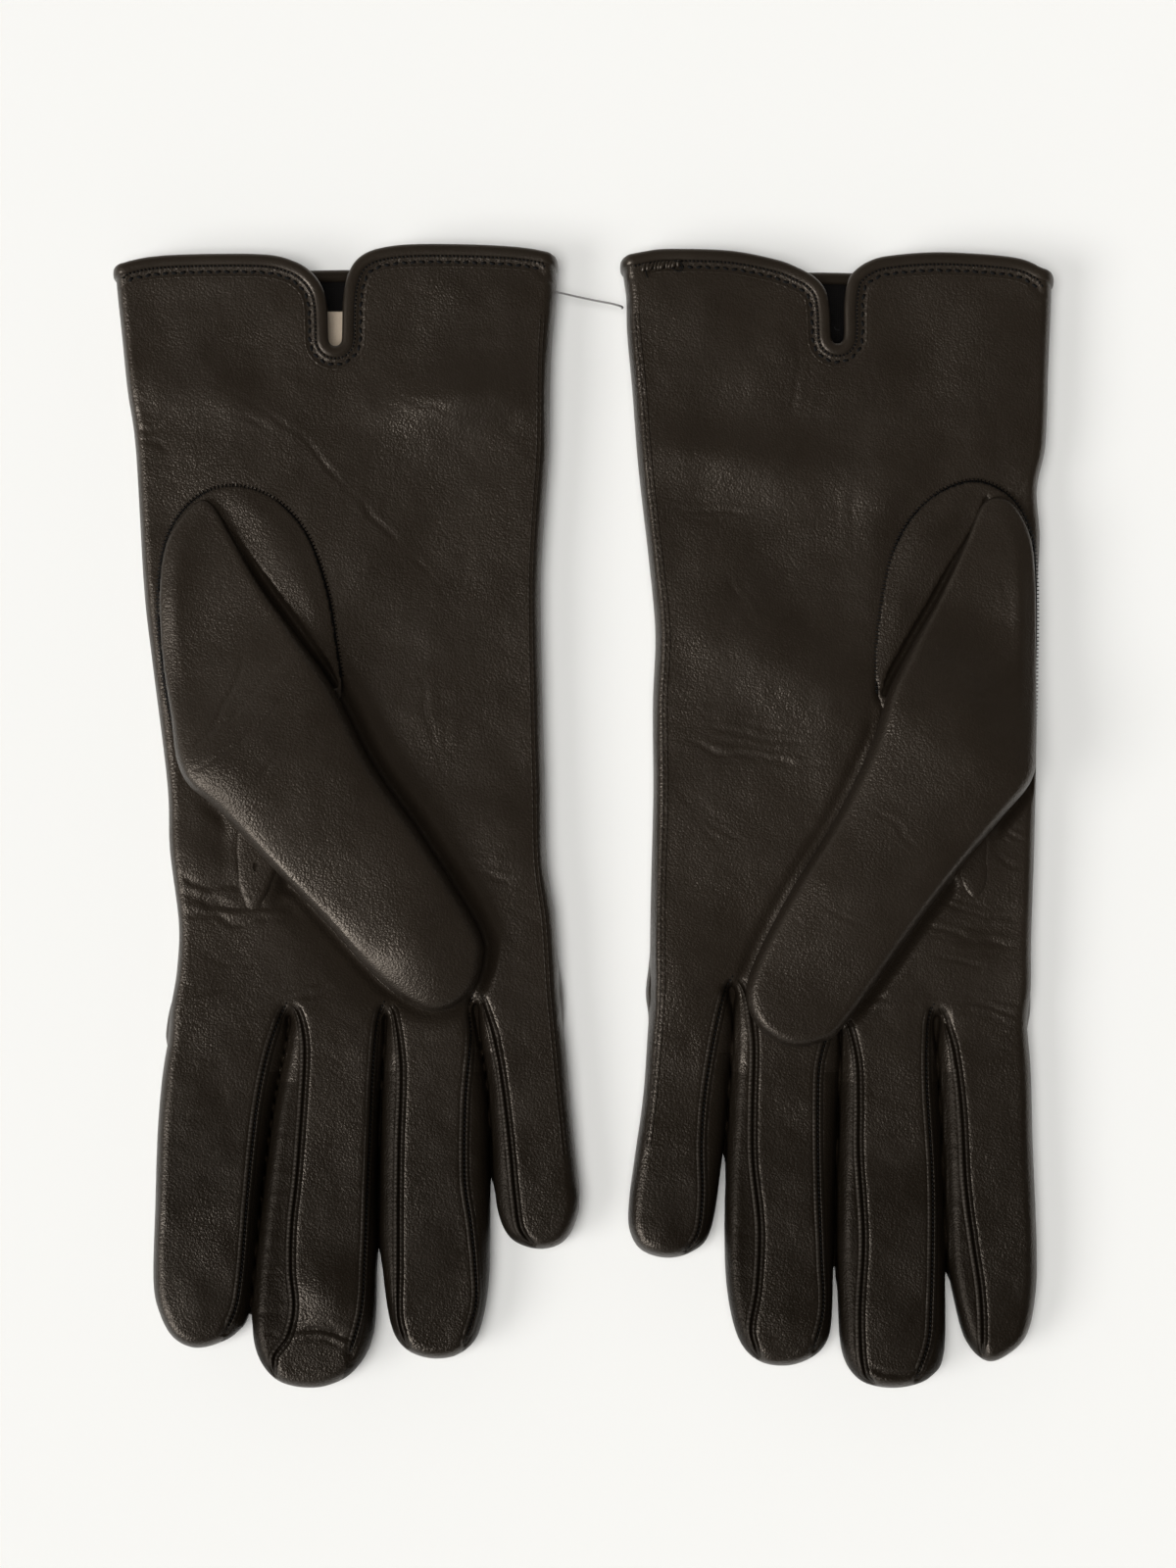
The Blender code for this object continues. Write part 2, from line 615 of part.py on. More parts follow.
def build_thumb(glove):
    name = glove["name"]
    outline = glove["thumb"]
    bend = glove["thumb_bend"]
    way = unit(np.array(glove["thumb_way"], float))

    def solid(inset, label="tool"):
        return rounded(outline, THUMB_BASE, THUMB_TOP, THUMB_RADIUS, inset, label)

    def beyond():
        return knuckle_cutter(bend, way, THUMB_AXIS_Z, THUMB_TOP, 1, low=THUMB_BASE - 5)

    def before():
        return knuckle_cutter(bend, way, THUMB_AXIS_Z, THUMB_TOP, -1, low=THUMB_BASE - 5)

    base = solid(0, f"{name}_thumb_base")
    inside = solid(LEATHER)
    slope_base(base, bend, way)
    slope_base(inside, bend, way)
    hole = thumb_hole(glove, THUMB_BASE - 5, THUMB_BASE + 4)
    cut(base, beyond())
    cut(base, inside)
    cut(base, hole)

    thumb = cut(solid(0, f"{name}_thumb"), before())
    cut(thumb, solid(LEATHER))
    lining = cut(solid(LINING_FROM, f"{name}_thumb_lining"), before())
    cut(lining, solid(LINING_TO))


def build_glove(glove):
    build_palm(glove)
    build_cuff(glove)
    build_side_seam(glove)
    for finger_name in glove["fingers"]:
        build_finger(glove, finger_name)
    build_thumb(glove)


def finish_name(node):
    if node == "right_label":
        return "label_cloth"
    if node.endswith("lining"):
        return "lining"
    if node.endswith("cuff_binding"):
        return "binding_leather"
    if node.endswith(("stitching", "side_seam", "thread")):
        return "thread"
    return "leather"


def make_material(node):
    """Each sub-part has a material of its own, named after it."""
    colour, roughness = FINISHES[finish_name(node)]
    material = bpy.data.materials.new(node)
    material.use_nodes = True
    shader = material.node_tree.nodes["Principled BSDF"]
    shader.inputs["Base Color"].default_value = (*colour, 1.0)
    shader.inputs["Roughness"].default_value = roughness
    shader.inputs["Metallic"].default_value = 0.0
    material.diffuse_color = (*colour, 1.0)
    return material


def add_empty(name, place, parent=None):
    empty = bpy.data.objects.new(name, None)
    empty.empty_display_size = 0.01
    bpy.context.scene.collection.objects.link(empty)
    origin = np.array(place, float) * MM_TO_M
    if parent is not None:
        empty.parent = parent
        origin = origin - np.array(parent.matrix_world.translation)
    empty.location = origin
    bpy.context.view_layer.update()
    return empty


def attach(item, empty):
    """Finishes a solid: metres, its origin on the empty, its material and its shading."""
    item.data.materials.clear()
    item.data.materials.append(make_material(item.name))
    origin = np.array(empty.matrix_world.translation)
    item.parent = empty
    if item.type == "CURVE":
        item.location = -origin
        return
    facing_out(item)
    for vertex in item.data.vertices:
        vertex.co = np.array(vertex.co) * MM_TO_M - origin
    item.data.shade_smooth()
    item.data.set_sharp_from_angle(angle=SMOOTH_ANGLE)


def joint_place(glove, piece):
    if piece == "thumb":
        return (*glove["thumb_bend"], THUMB_AXIS_Z)
    outline = glove["fingers"][piece]["outline"]
    xs = [x for x, _ in outline]
    return ((min(xs) + max(xs)) / 2, glove["fingers"][piece]["hinge_y"], FINGER_AXIS_Z)


def assemble(glove, palm_empty):
    """Hangs each bending piece's solids on an empty at its knuckle, and the others on the palm's."""
    name = glove["name"]
    waiting = [item for item in bpy.data.objects if item.type != "EMPTY" and item.name.startswith(name)]
    for piece in [*glove["fingers"], "thumb"]:
        knuckle = add_empty(f"{name}_{piece}_knuckle", joint_place(glove, piece), palm_empty)
        for item in list(waiting):
            is_base = item.name.endswith("thumb_base")
            if item.name.startswith(f"{name}_{piece}") and not is_base:
                attach(item, knuckle)
                waiting.remove(item)
    for item in waiting:
        attach(item, palm_empty)


def main():
    clear_scene()
    build_glove(RIGHT_GLOVE)
    build_glove(LEFT_GLOVE)
    box(LABEL_LOW, LABEL_HIGH, "right_label")
    tie = thread_curve(TIE_ROUTE, TIE_RADIUS, "tie_thread")
    right_palm = add_empty("right_palm", (0, 0, 0))
    left_palm = add_empty("left_palm", TIE_PIVOT, right_palm)
    assemble(RIGHT_GLOVE, right_palm)
    assemble(LEFT_GLOVE, left_palm)
    attach(tie, right_palm)


main()
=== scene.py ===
"""The look of a pair of leather dress gloves that lie palms up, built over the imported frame.

Every shape below is in millimetres, with X to the right, Y towards the cuffs and Z up, and is scaled to
metres as its mesh is made. Each glove's leather is grown as a smooth field around its outline, meshed,
pressed into creases, and then divided into the panels a glover sews together.
"""

import math

import bpy
import numpy as np
import openvdb
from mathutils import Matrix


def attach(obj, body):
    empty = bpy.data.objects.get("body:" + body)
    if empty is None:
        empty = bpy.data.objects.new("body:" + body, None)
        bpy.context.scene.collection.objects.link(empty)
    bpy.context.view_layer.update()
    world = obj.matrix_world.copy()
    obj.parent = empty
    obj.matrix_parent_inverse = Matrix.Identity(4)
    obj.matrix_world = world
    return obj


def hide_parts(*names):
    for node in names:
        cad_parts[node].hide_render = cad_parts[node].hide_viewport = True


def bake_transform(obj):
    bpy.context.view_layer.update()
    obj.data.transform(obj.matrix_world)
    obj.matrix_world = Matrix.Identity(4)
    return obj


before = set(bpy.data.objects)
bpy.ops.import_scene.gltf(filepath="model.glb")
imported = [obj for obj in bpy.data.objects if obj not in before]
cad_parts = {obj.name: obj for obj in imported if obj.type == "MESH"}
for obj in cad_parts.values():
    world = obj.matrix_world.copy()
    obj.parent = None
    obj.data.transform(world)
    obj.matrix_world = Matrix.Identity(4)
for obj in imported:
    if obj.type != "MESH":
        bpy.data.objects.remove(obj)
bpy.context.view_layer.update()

MM = 0.001
# Pitch of the grids that the fields are sampled on.
CELL = 0.6

# Flattened leather tube: the height of its middle, half its thickness, the radius of its edges, and its
# wall above and at the sides. It is hollow from CAVITY_END to the cuff. The webs between the fingers lie
# WEB_DROP lower, and what is under BACK_TOP belongs to the backs of the fingers.
PALM_MIDDLE = 6.3
PALM_HALF = 6.3
PALM_EDGE = 5.6
PALM_TOP = PALM_MIDDLE + PALM_HALF
WALL = 1.7
SIDE_WALL = 1.3
CAVITY_END = 78.0
WEB_DROP = 2.4
BACK_TOP = 3.4

# The thumb lies on the palm: its underside, half its thickness, the radius of its edges and how much it
# is crowned across. Then half the thickness of its oval base, at the edge and how much more inside.
THUMB_FLOOR = 12.75
THUMB_HALF = 4.9
THUMB_EDGE = 4.4
THUMB_CROWN = 2.0
OVAL_HALF = 0.4375
OVAL_CREST = 0.3125

# The palm dips where it meets the thumb, more on the thumb's right, and beside the right-hand glove's
# thumb it also falls gently towards it. A fold parts the thumb from its base.
THUMB_DIP = 0.9
THUMB_SHADE_DIP = 2.6
THUMB_FALL = 1.9
CREVICE_WIDTH = 2.2
CREVICE_DEPTH = 3.0

# How much shorter the rounding of an edge is sideways than upwards.
EDGE_STEEP = 2.3
FINGER_STEEP = 1.8
EDGE_REACH = PALM_EDGE / EDGE_STEEP

# How far inside the cuff's edge its stitches run, how far apart they are, and where the binding's own
# seam runs.
STITCH_INSET = 4.4
STITCH_PITCH = 2.15
BINDING_INSET = 3.0

# Where the lines down the gaps between the fingers are given.
GAP_LINE_Y = (-60, -80)

# How far each side of a knuckle its leather bends, and the heights that the bends are measured at.
FINGER_BEND = 8.5
THUMB_BEND = 9.0
FINGER_BEND_Z = 7.5
THUMB_BEND_Z = 20.2

# How strongly creases and swells stand out. Each crease is a main line with two weaker ones beside it:
# offset in widths, and depth.
CREASE_GAIN = 0.55
SWELL_GAIN = 1.6
STRANDS = ((0.0, 1.0), (-2.0, 0.45), (1.7, 0.35))

# The palm's slack: the simulated sheet's pitch, how much it is let out, and the share of its buckling
# that shows. It is simulated ten times larger than life.
SLACK_PITCH = 3.5
SLACK_GROWTH = 0.03
SLACK_FRAMES = 24
SLACK_SHARE = 0.11
SLACK_SCALE = 10.0

# The stretch along Y, in metres, over which painted shade darkens the leather down the fingers, and the
# shade's tone there.
FINGER_SHADE_FROM = -0.03
FINGER_SHADE_TO = -0.088
FINGER_SHADE = (0.46, 0.43, 0.37)

SEED = 11


# --- Shapes -----------------------------------------------------------------------------------------

RIGHT = {
    "name": "right",
    # Palm and the back of the cuff, counter-clockwise from the cuff's left end.
    "palm": [
        (-114.5, 146), (-114.3, 132), (-113, 118.5), (-111.5, 104), (-109.5, 89.5), (-107.5, 56),
        (-105.5, 38), (-101.8, 8), (-101.2, -8), (-99, -26), (-99.5, -38), (-101.2, -50), (-99, -57),
        (-85, -58), (-72, -48.5), (-60, -50), (-48.4, -48), (-37, -50), (-26.5, -45.5), (-16, -51),
        (-9, -51), (-6.2, -45), (-7, -25.5), (-9, -11.5), (-9.5, 8), (-10, 27), (-10.5, 56),
        (-9.5, 75), (-8.5, 89.5), (-8, 112), (-6.8, 128), (-6.8, 146), (-6.8, 170), (-114.5, 170),
    ],
    "fingers": {
        "index": {
            "outline": [
                (-90, -40), (-98.5, -47), (-102, -57), (-104, -74), (-104.8, -96), (-105.2, -114),
                (-103.5, -122), (-100.3, -127.5), (-95.2, -130), (-89.5, -129), (-84.5, -126),
                (-81.8, -120), (-79.2, -93), (-76.2, -71), (-72.6, -50), (-78, -40),
            ],
            "hinge_y": -71.3,
            "seams": {
                "right": [(-71.9, -44.6), (-74.2, -49.5), (-77, -58), (-79.6, -71.3), (-81.7, -91.4),
                          (-83.2, -110), (-84.6, -119.5), (-87.4, -126)],
            },
        },
        "middle": {
            "outline": [
                (-70.5, -36), (-71.4, -50), (-75.3, -71), (-77.8, -90), (-80, -110), (-81, -124),
                (-79.6, -132), (-75.5, -137.5), (-69.5, -139.6), (-62.5, -139.2), (-56, -135.5),
                (-51.5, -127), (-50.7, -110), (-50.7, -88), (-50.2, -71), (-48.9, -50), (-50, -36),
            ],
            "hinge_y": -73.7,
            "seams": {
                "left": [(-71.7, -44.6), (-69.2, -48.5), (-67.8, -56), (-68.3, -69), (-69.7, -87.8),
                         (-70.9, -99), (-71.2, -110), (-70.4, -119.3), (-71.9, -126.5), (-75.3, -131.5),
                         (-75.2, -136.2)],
                "right": [(-48.2, -44.2), (-50.2, -50), (-51.3, -62), (-51.9, -76.6), (-52.6, -91.4),
                          (-53.2, -106.6), (-54, -120), (-57, -131)],
            },
        },
        "ring": {
            "outline": [
                (-47, -36), (-47.8, -50), (-49.1, -71), (-49.6, -96), (-49.2, -110), (-47.2, -124),
                (-43.8, -130), (-38, -132.5), (-31.5, -132), (-26.8, -128.5), (-24.6, -123),
                (-23.2, -114), (-22.9, -104), (-23, -88), (-24, -66), (-27, -48), (-28, -36),
            ],
            "hinge_y": -71.3,
            "seams": {
                "left": [(-48, -44.2), (-46, -48.5), (-44.5, -58), (-44.3, -66), (-44.8, -80), (-45, -95.3),
                         (-45, -110.2), (-45, -122), (-43, -129)],
                "right": [(-26.6, -42), (-27.8, -47), (-27.4, -54), (-28.7, -69.1), (-28.9, -87.8),
                          (-27.4, -99), (-26.3, -110), (-26.2, -119), (-29, -128.5)],
            },
        },
        "little": {
            "outline": [
                (-20, -36), (-25.4, -46), (-23.1, -66), (-22.2, -80), (-21.7, -90), (-20.6, -98),
                (-17.5, -103.5), (-11.5, -105.8), (-6, -104.8), (-2.6, -101), (-0.7, -94),
                (-1.5, -87), (-3.2, -70), (-5, -52), (-8, -40), (-14, -35),
            ],
            "hinge_y": -66.5,
            "seams": {
                "left": [(-26.4, -42), (-24, -46.5), (-21.6, -54), (-19.6, -65), (-17.8, -80), (-16.6, -93),
                         (-15.4, -100.5), (-12.5, -104.2)],
            },
        },
    },
    # The X of each gap between two fingers, at the two heights in GAP_LINE_Y.
    "gap_lines": [(-74.0, -77.0), (-49.3, -50.05), (-24.3, -22.8)],
    # Oval seam round the thumb's base, and the folded thumb that lies over it.
    "oval": [
        (-86, 80.5), (-94.5, 77.2), (-101, 68.5), (-103.4, 55), (-102.6, 38), (-100.2, 24),
        (-96.5, 13), (-88, 10), (-76, 14), (-64, 22), (-59, 29), (-60.2, 42), (-62.6, 55.5),
        (-67.6, 69), (-76, 77.8),
    ],
    "flap": [
        (-90.4, 76), (-94.5, 76), (-101, 67.5), (-103, 55), (-102.2, 38), (-100, 24), (-98.6, 14),
        (-95.5, 7.5), (-88.5, 1.5), (-74.3, -13.4), (-63.2, -24.7), (-51.2, -38), (-41.5, -45.6),
        (-34, -47), (-27.2, -42.3), (-24.4, -34.5), (-26, -26.5), (-39, -5.2), (-51, 12.2),
        (-61.2, 32), (-70.5, 45), (-79.2, 57), (-85.5, 68),
    ],
    # The seam that holds the thumb down, the fold between it and its base, and the middle of its bend
    # with the direction it points in.
    "left_seam": [
        (-90.4, 77), (-97, 74), (-101.6, 66), (-103.5, 54), (-102.4, 38), (-100.2, 24), (-98, 12),
    ],
    "valley": [(-91, 76), (-85, 68), (-78.7, 57), (-70, 45), (-60.8, 32)],
    "bend": (-78.7, 22.3),
    "way": (0.59, -0.81),
    "quirk": [(-84, 0), (-84.6, -12), (-82.4, -20.6), (-79, -21.4), (-75.8, -15), (-72, -4)],
    "cuff_left": [
        (-114.5, 133), (-111.5, 135), (-103.5, 136.5), (-90, 137), (-77, 136.8), (-70.5, 135.2),
        (-66.6, 132.8), (-63.8, 129.2), (-62.6, 125), (-62.3, 119),
    ],
    "notch": ((-60.5, 116.2), 1.75),
    "cuff_right": [
        (-58.7, 119), (-58.5, 126), (-57.5, 131.5), (-55, 135.8), (-50, 138.3), (-40, 139.4),
        (-20.5, 139), (-9.5, 137.6), (-6.8, 135.2),
    ],
    "cuff_back": [(-114.5, 133), (-95, 133.4), (-63.5, 134.2), (-35, 134.4), (-6.8, 135.2)],
    "side_seam": [
        (-7.6, 128), (-8.6, 112), (-9, 89.5), (-10, 75), (-10.9, 56), (-10.5, 27), (-10, 8),
        (-9.5, -11.5), (-7.7, -25.5), (-6.6, -42), (-5.4, -55), (-3.9, -70), (-2.2, -86),
    ],
    "side_seam_in": -1,
    # Creases: points, depth and half width.
    "creases": [
        ([(-97, 110), (-82, 101), (-71.4, 94.3), (-62.3, 85), (-53, 75), (-45.5, 67.4), (-36, 57),
          (-27, 45)], 0.45, 0.85),
        ([(-90, 101), (-80, 96), (-70, 90)], 0.25, 0.9),
        ([(-111, 100.5), (-107, 98.5), (-102.5, 98)], 0.4, 1.1),
        ([(-110.5, 96), (-106, 94.5), (-101, 95)], 0.35, 1.0),
        ([(-110, 92), (-105.5, 91), (-100.5, 88.5)], 0.4, 1.1),
        ([(-109, 86), (-104, 85.5)], 0.3, 1.0),
        ([(-103, -18.5), (-94, -20.2), (-84.6, -21.6), (-75, -22.4), (-65, -25)], 2.0, 2.1),
        ([(-48, -6), (-36, -12), (-24, -14), (-10, -17)], 0.5, 1.0),
        ([(-30, -20), (-20, -22), (-9, -27)], 0.5, 0.9),
        ([(-100, -13), (-95, -16.5), (-90, -17.5)], 0.45, 0.9),
        ([(-100.5, -23.5), (-94, -24), (-88, -26.5)], 0.35, 0.9),
        ([(-92, -53), (-82, -48.5), (-71.2, -44.4), (-63.2, -42), (-52.9, -38.2)], 0.4, 1.1),
        ([(-99, -45), (-92, -42.5), (-84, -42)], 0.25, 1.0),
        ([(-95, -34), (-86, -36), (-78, -35)], 0.2, 1.2),
        ([(-48, 70), (-46, 80), (-42, 92)], 0.15, 1.5),
        ([(-51, 103), (-37, 100), (-18, 97.5)], 0.22, 1.6),
        ([(-38, 37), (-37, 20), (-32, 8)], 0.18, 1.6),
        ([(-72.5, -126.4), (-66, -124.8), (-60, -126.2), (-55, -129.5)], 2.8, 1.15),
        ([(-80, -112), (-76, -111.4), (-72, -112)], 0.4, 0.7),
        ([(-80.4, -116.5), (-76, -115.6), (-72, -117)], 0.45, 0.7),
        ([(-80.6, -121.5), (-76, -120.8), (-72.4, -122.2)], 0.5, 0.8),
        ([(-80.4, -126.5), (-76.6, -126), (-73, -127.5)], 0.45, 0.8),
    ],
    # Swells: centre, half length, half width, turn in degrees, height.
    "swells": [
        ((-28, 102), 18, 7, 6, 1.5), ((-84, 101), 14, 6, -32, 0.4), ((-105, 104), 8, 6, 0, 0.4),
        ((-45, 55), 20, 9, -48, 0.35), ((-30, 20), 12, 18, 10, 0.4), ((-90, -12), 9, 5, -10, 0.55),
        ((-38, -12), 10, 20, 12, 0.3), ((-62, -116), 9, 8, 0, 1.1), ((-18, -8), 9, 10, 0, 0.8),
        ((-95, -118), 6, 7, 0, 0.35),
    ],
    "thumb_creases": [
        ([(-98, 12), (-90, 20), (-80, 29), (-71, 40)], 0.55, 0.9),
        ([(-97, 9), (-87, 15), (-78, 22), (-68, 33)], 0.65, 0.9),
        ([(-92, 18), (-86, 29), (-80, 42)], 0.45, 0.9), ([(-90, 4), (-80, 9), (-70, 18)], 0.5, 0.9),
        ([(-84, 0), (-74, 5), (-64, 15)], 0.25, 0.9), ([(-70, -10), (-62, -2), (-56, 3)], 0.2, 0.9),
    ],
    "thumb_swells": [
        ((-84, 8), 9, 6, -40, 0.5), ((-40, -34), 9, 9, 0, 0.8), ((-105, 50), 9, 26, 0, 0.9),
    ],
    "tip_flat": 0.0,
}

LEFT = {
    "name": "left",
    "palm": [
        (9.5, 146), (9.5, 135), (10.5, 127), (10.7, 118.5), (12, 104), (13.5, 85), (16, 63), (17.6, 45),
        (17, 27), (17.1, 5), (16.5, -20), (16.4, -38), (17.6, -46), (26, -50), (36.8, -41.5), (49, -51),
        (62.9, -51.5), (74, -50), (85.9, -48.5), (97, -52), (106.5, -50.5), (109.2, -44), (109.5, -30),
        (110.3, -5), (110.8, 20), (110.8, 50), (111.6, 68), (110.9, 80), (113, 91), (113.7, 110),
        (114.4, 128), (114.5, 146), (114.5, 170), (9.5, 170),
    ],
    "fingers": {
        "little": {
            "outline": [
                (22, -34), (17.4, -40), (16, -50), (14.7, -68), (12.5, -84), (11.2, -94), (11.2, -101),
                (14, -106), (20.2, -108), (26.5, -106.5), (31, -101.5), (33.6, -86), (35.2, -66),
                (36, -46), (31, -35),
            ],
            "hinge_y": -66.5,
            "seams": {
                "right": [(36.7, -38), (34.2, -43.5), (31.6, -55), (29.6, -68), (28.8, -80), (29, -92),
                          (28, -101), (25, -105.8)],
            },
        },
        "ring": {
            "outline": [
                (38.5, -30), (37.2, -44), (36.2, -64), (35, -86), (34.6, -101.5), (35.2, -116),
                (37.8, -127.5), (42.5, -133), (49, -134.4), (55, -132.8), (59.2, -129),
                (60.8, -121.5), (61.1, -98.5), (61.7, -76), (62.4, -54), (61, -38),
            ],
            "hinge_y": -71.3,
            "seams": {
                "left": [(36.9, -38), (39.8, -44), (41.6, -55), (41.3, -71.3), (41.4, -84), (43, -100),
                         (42.4, -114.5), (40.8, -125), (42.8, -132)],
                "right": [(62.7, -47.6), (60, -52), (57.6, -60), (57.1, -71.3), (57.3, -89.3), (58, -107.3),
                          (58.4, -120), (56, -130)],
            },
        },
        "middle": {
            "outline": [
                (64.5, -38), (63.4, -54), (62.7, -76), (62.1, -98.5), (62.4, -116), (63.2, -130.5),
                (66.5, -137), (72, -139.5), (79, -139.5), (85, -137), (88.2, -131), (88.4, -112),
                (87.6, -88), (86.9, -72), (85.6, -52), (84, -38),
            ],
            "hinge_y": -73.7,
            "seams": {
                "left": [(62.9, -47.6), (65, -52), (66.8, -60), (67.1, -70), (67.1, -82), (68.3, -103),
                         (67.4, -121.7), (68.2, -134.6), (70.5, -138)],
                "right": [(85.7, -44.8), (84, -50), (83.6, -64), (84.9, -85.7), (85.1, -100), (84.7, -118),
                          (84, -128), (81, -137)],
            },
        },
        "index": {
            "outline": [
                (91, -40), (87, -52), (87.6, -72), (88.2, -88), (89.0, -107), (91.2, -120),
                (94, -129), (98.8, -133.3), (104, -131.5), (108.3, -127), (110.3, -119),
                (110.9, -107), (109.9, -80), (109.1, -58), (106.5, -44), (98, -38),
            ],
            "hinge_y": -71.3,
            "seams": {
                "left": [(85.9, -44.8), (88, -49.5), (90.4, -57.5), (92.2, -71.3), (93.2, -89.3),
                         (95, -103.7), (96.6, -114.5), (97.2, -123), (97.2, -131)],
            },
        },
    },
    "gap_lines": [(36.0, 34.8), (62.6, 61.95), (86.7, 87.9)],
    "oval": [
        (96, 81.5), (87.5, 79.3), (80.5, 73.5), (75, 63.5), (72.2, 50), (71, 36), (73.2, 25),
        (82, 14), (94, 10), (104, 11), (109, 18), (110, 40), (110, 58), (108.8, 69), (104, 77.5),
    ],
    "flap": [
        (97.4, 76.4), (92.6, 66), (86.6, 53.5), (80, 42), (74, 30.5), (70, 18), (61.3, 0), (50, -18.5),
        (41.3, -35.5), (39.4, -44), (42.7, -51.4), (50, -55.6), (57.5, -54.6), (63.3, -50.4),
        (79.3, -28), (90.4, -13.4), (101.4, -0.2), (108.6, 9), (109.8, 18), (110, 40), (109.8, 58),
        (108.4, 68.6), (103.6, 76.6),
    ],
    "left_seam": [(97.4, 79), (103.8, 77), (108.9, 69), (110.4, 58), (110.5, 40), (110.3, 20), (109, 9)],
    "valley": [(97.6, 77), (93, 66), (87, 53.5), (80.4, 42), (73.8, 30)],
    "bend": (90.5, 20.5),
    "way": (-0.55, -0.835),
    "quirk": [(88.5, -4), (90.5, -12), (92.6, -17.4), (95.3, -20), (98, -17), (98.6, -10), (98, -3)],
    "cuff_left": [
        (9.5, 135), (10.8, 136.6), (15, 137.6), (20.5, 138.2), (35.5, 137.8), (47, 135.6),
        (52.5, 133.5), (56.5, 131.2), (59, 128), (59.9, 123.5), (60.1, 119),
    ],
    "notch": ((61.85, 116.7), 1.65),
    "cuff_right": [
        (63.6, 119), (63.6, 125), (64.5, 130.5), (66.5, 133.2), (70, 135.4), (75, 136.6),
        (87.5, 137.4), (104.5, 136.2), (111.5, 133.6), (114.5, 130.5),
    ],
    "cuff_back": [(9.5, 135), (39.5, 133.6), (62, 133.6), (90, 132.4), (114.5, 130.5)],
    "side_seam": [
        (10.7, 131), (11.4, 118), (12.8, 104), (14.3, 85), (16.8, 63), (18.6, 45), (17.9, 27),
        (18.1, 5), (17.4, -20), (17.3, -42), (16.4, -56), (15.4, -68), (13.4, -84),
    ],
    "side_seam_in": 1,
    "creases": [
        ([(17.4, 76), (26, 74), (35, 74.6), (44.8, 73.7)], 0.45, 1.2),
        ([(19.8, 19.7), (27, 17.4), (35.2, 15.4), (50, 13.6), (64.7, 10.8)], 0.5, 1.1),
        ([(20.5, 8.6), (24, 4), (29.4, -0.2), (41.9, -8.9)], 0.35, 1.1),
        ([(24, 23), (40, 20), (60, 17.5)], 0.3, 1.2),
        ([(78, -18), (90, -22), (99, -25), (109.6, -25)], 0.75, 1.1),
        ([(80, -24), (92, -29), (109, -31)], 0.65, 1.1),
        ([(84, -33), (96, -36), (108.8, -34)], 0.55, 1.1),
        ([(100, 2), (104, -4), (109, -6)], 0.7, 1.0),
        ([(100, -9), (105, -12), (110, -12)], 0.6, 0.9),
        ([(64.5, -46.5), (71, -47), (77.9, -46.1)], 0.6, 1.0),
        ([(90, -45.5), (98, -46.5), (108.8, -49.7)], 0.65, 1.0),
        ([(68.6, -133.4), (72, -135.6), (79, -136), (83.4, -133.8)], 1.6, 0.9),
        ([(41.5, -130.6), (47, -131.6), (55, -130)], 0.8, 0.9),
        ([(53, 118), (52, 106), (51.5, 94)], 0.3, 1.4),
        ([(71, 120), (70.5, 108), (72, 97)], 0.22, 1.4),
        ([(34, 60), (39, 52), (44, 45)], 0.3, 1.6),
        ([(66, 84), (64, 72), (66, 60)], 0.25, 1.4),
        ([(107, 84), (104, 81.5), (101, 82)], 0.5, 1.1),
        ([(16, 12), (20, 14)], 0.3, 1.0),
        ([(36, -96), (40, -97), (42.5, -96)], 0.3, 0.8),
        ([(36, -101), (40, -102), (42.5, -101.5)], 0.3, 0.8),
        ([(36, -106), (40, -107), (42.5, -106.5)], 0.3, 0.8),
    ],
    "swells": [
        ((35, 87), 19, 7, -3, 1.2), ((51, 35), 24, 13, -35, 1.9), ((76, 80), 10, 7, 35, 0.7),
        ((30, 45), 10, 16, -8, 0.4), ((70, 60), 6, 18, 0, 0.35), ((95, -35), 14, 7, 0, 0.35),
        ((22, -35), 15, 17, 0, 1.5), ((20, -103), 6, 6, 0, 0.5), ((50, -122), 7, 8, 0, 0.4),
        ((76, -125), 8, 9, 0, 0.35), ((95, 100), 14, 10, 0, 0.3),
    ],
    "thumb_creases": [
        ([(66, 3.5), (75, -2), (82.9, -10.1)], 0.25, 0.9),
        ([(55.1, -20), (62, -24), (70.4, -25.9)], 0.22, 0.9),
        ([(86, 33), (94, 29), (104, 32)], 0.25, 1.4), ([(84, 40), (93, 35), (98, 28)], 0.22, 1.2),
        ([(100, 60), (103, 50), (106, 42)], 0.15, 1.4), ([(96, 22), (103, 18), (109, 19)], 0.2, 1.2),
    ],
    "thumb_swells": [((92, 30), 8, 7, 20, 0.5), ((111, 45), 11, 24, 0, 1.3)],
    "tip_flat": 0.75,
}

GLOVES = (RIGHT, LEFT)

LABEL_LOW = (-68.0, 107.0, 2.1)
LABEL_HIGH = (-53.5, 124.0, 2.4)

# The tie thread's route in metres, from inside the right cuff to its end at the left one.
TIE_ROUTE = [
    (-0.0175, 0.1298, 0.0076), (-0.0120, 0.1290, 0.0083), (-0.0068, 0.1282, 0.0083),
    (-0.0020, 0.1272, 0.0074), (0.0030, 0.1262, 0.0070), (0.0070, 0.1254, 0.0074),
    (0.0089, 0.1249, 0.0070), (0.0095, 0.1248, 0.0056), (0.0095, 0.1248, 0.0026),
]
TIE_DIAMETER = 0.0005


# --- Plane geometry ---------------------------------------------------------------------------------


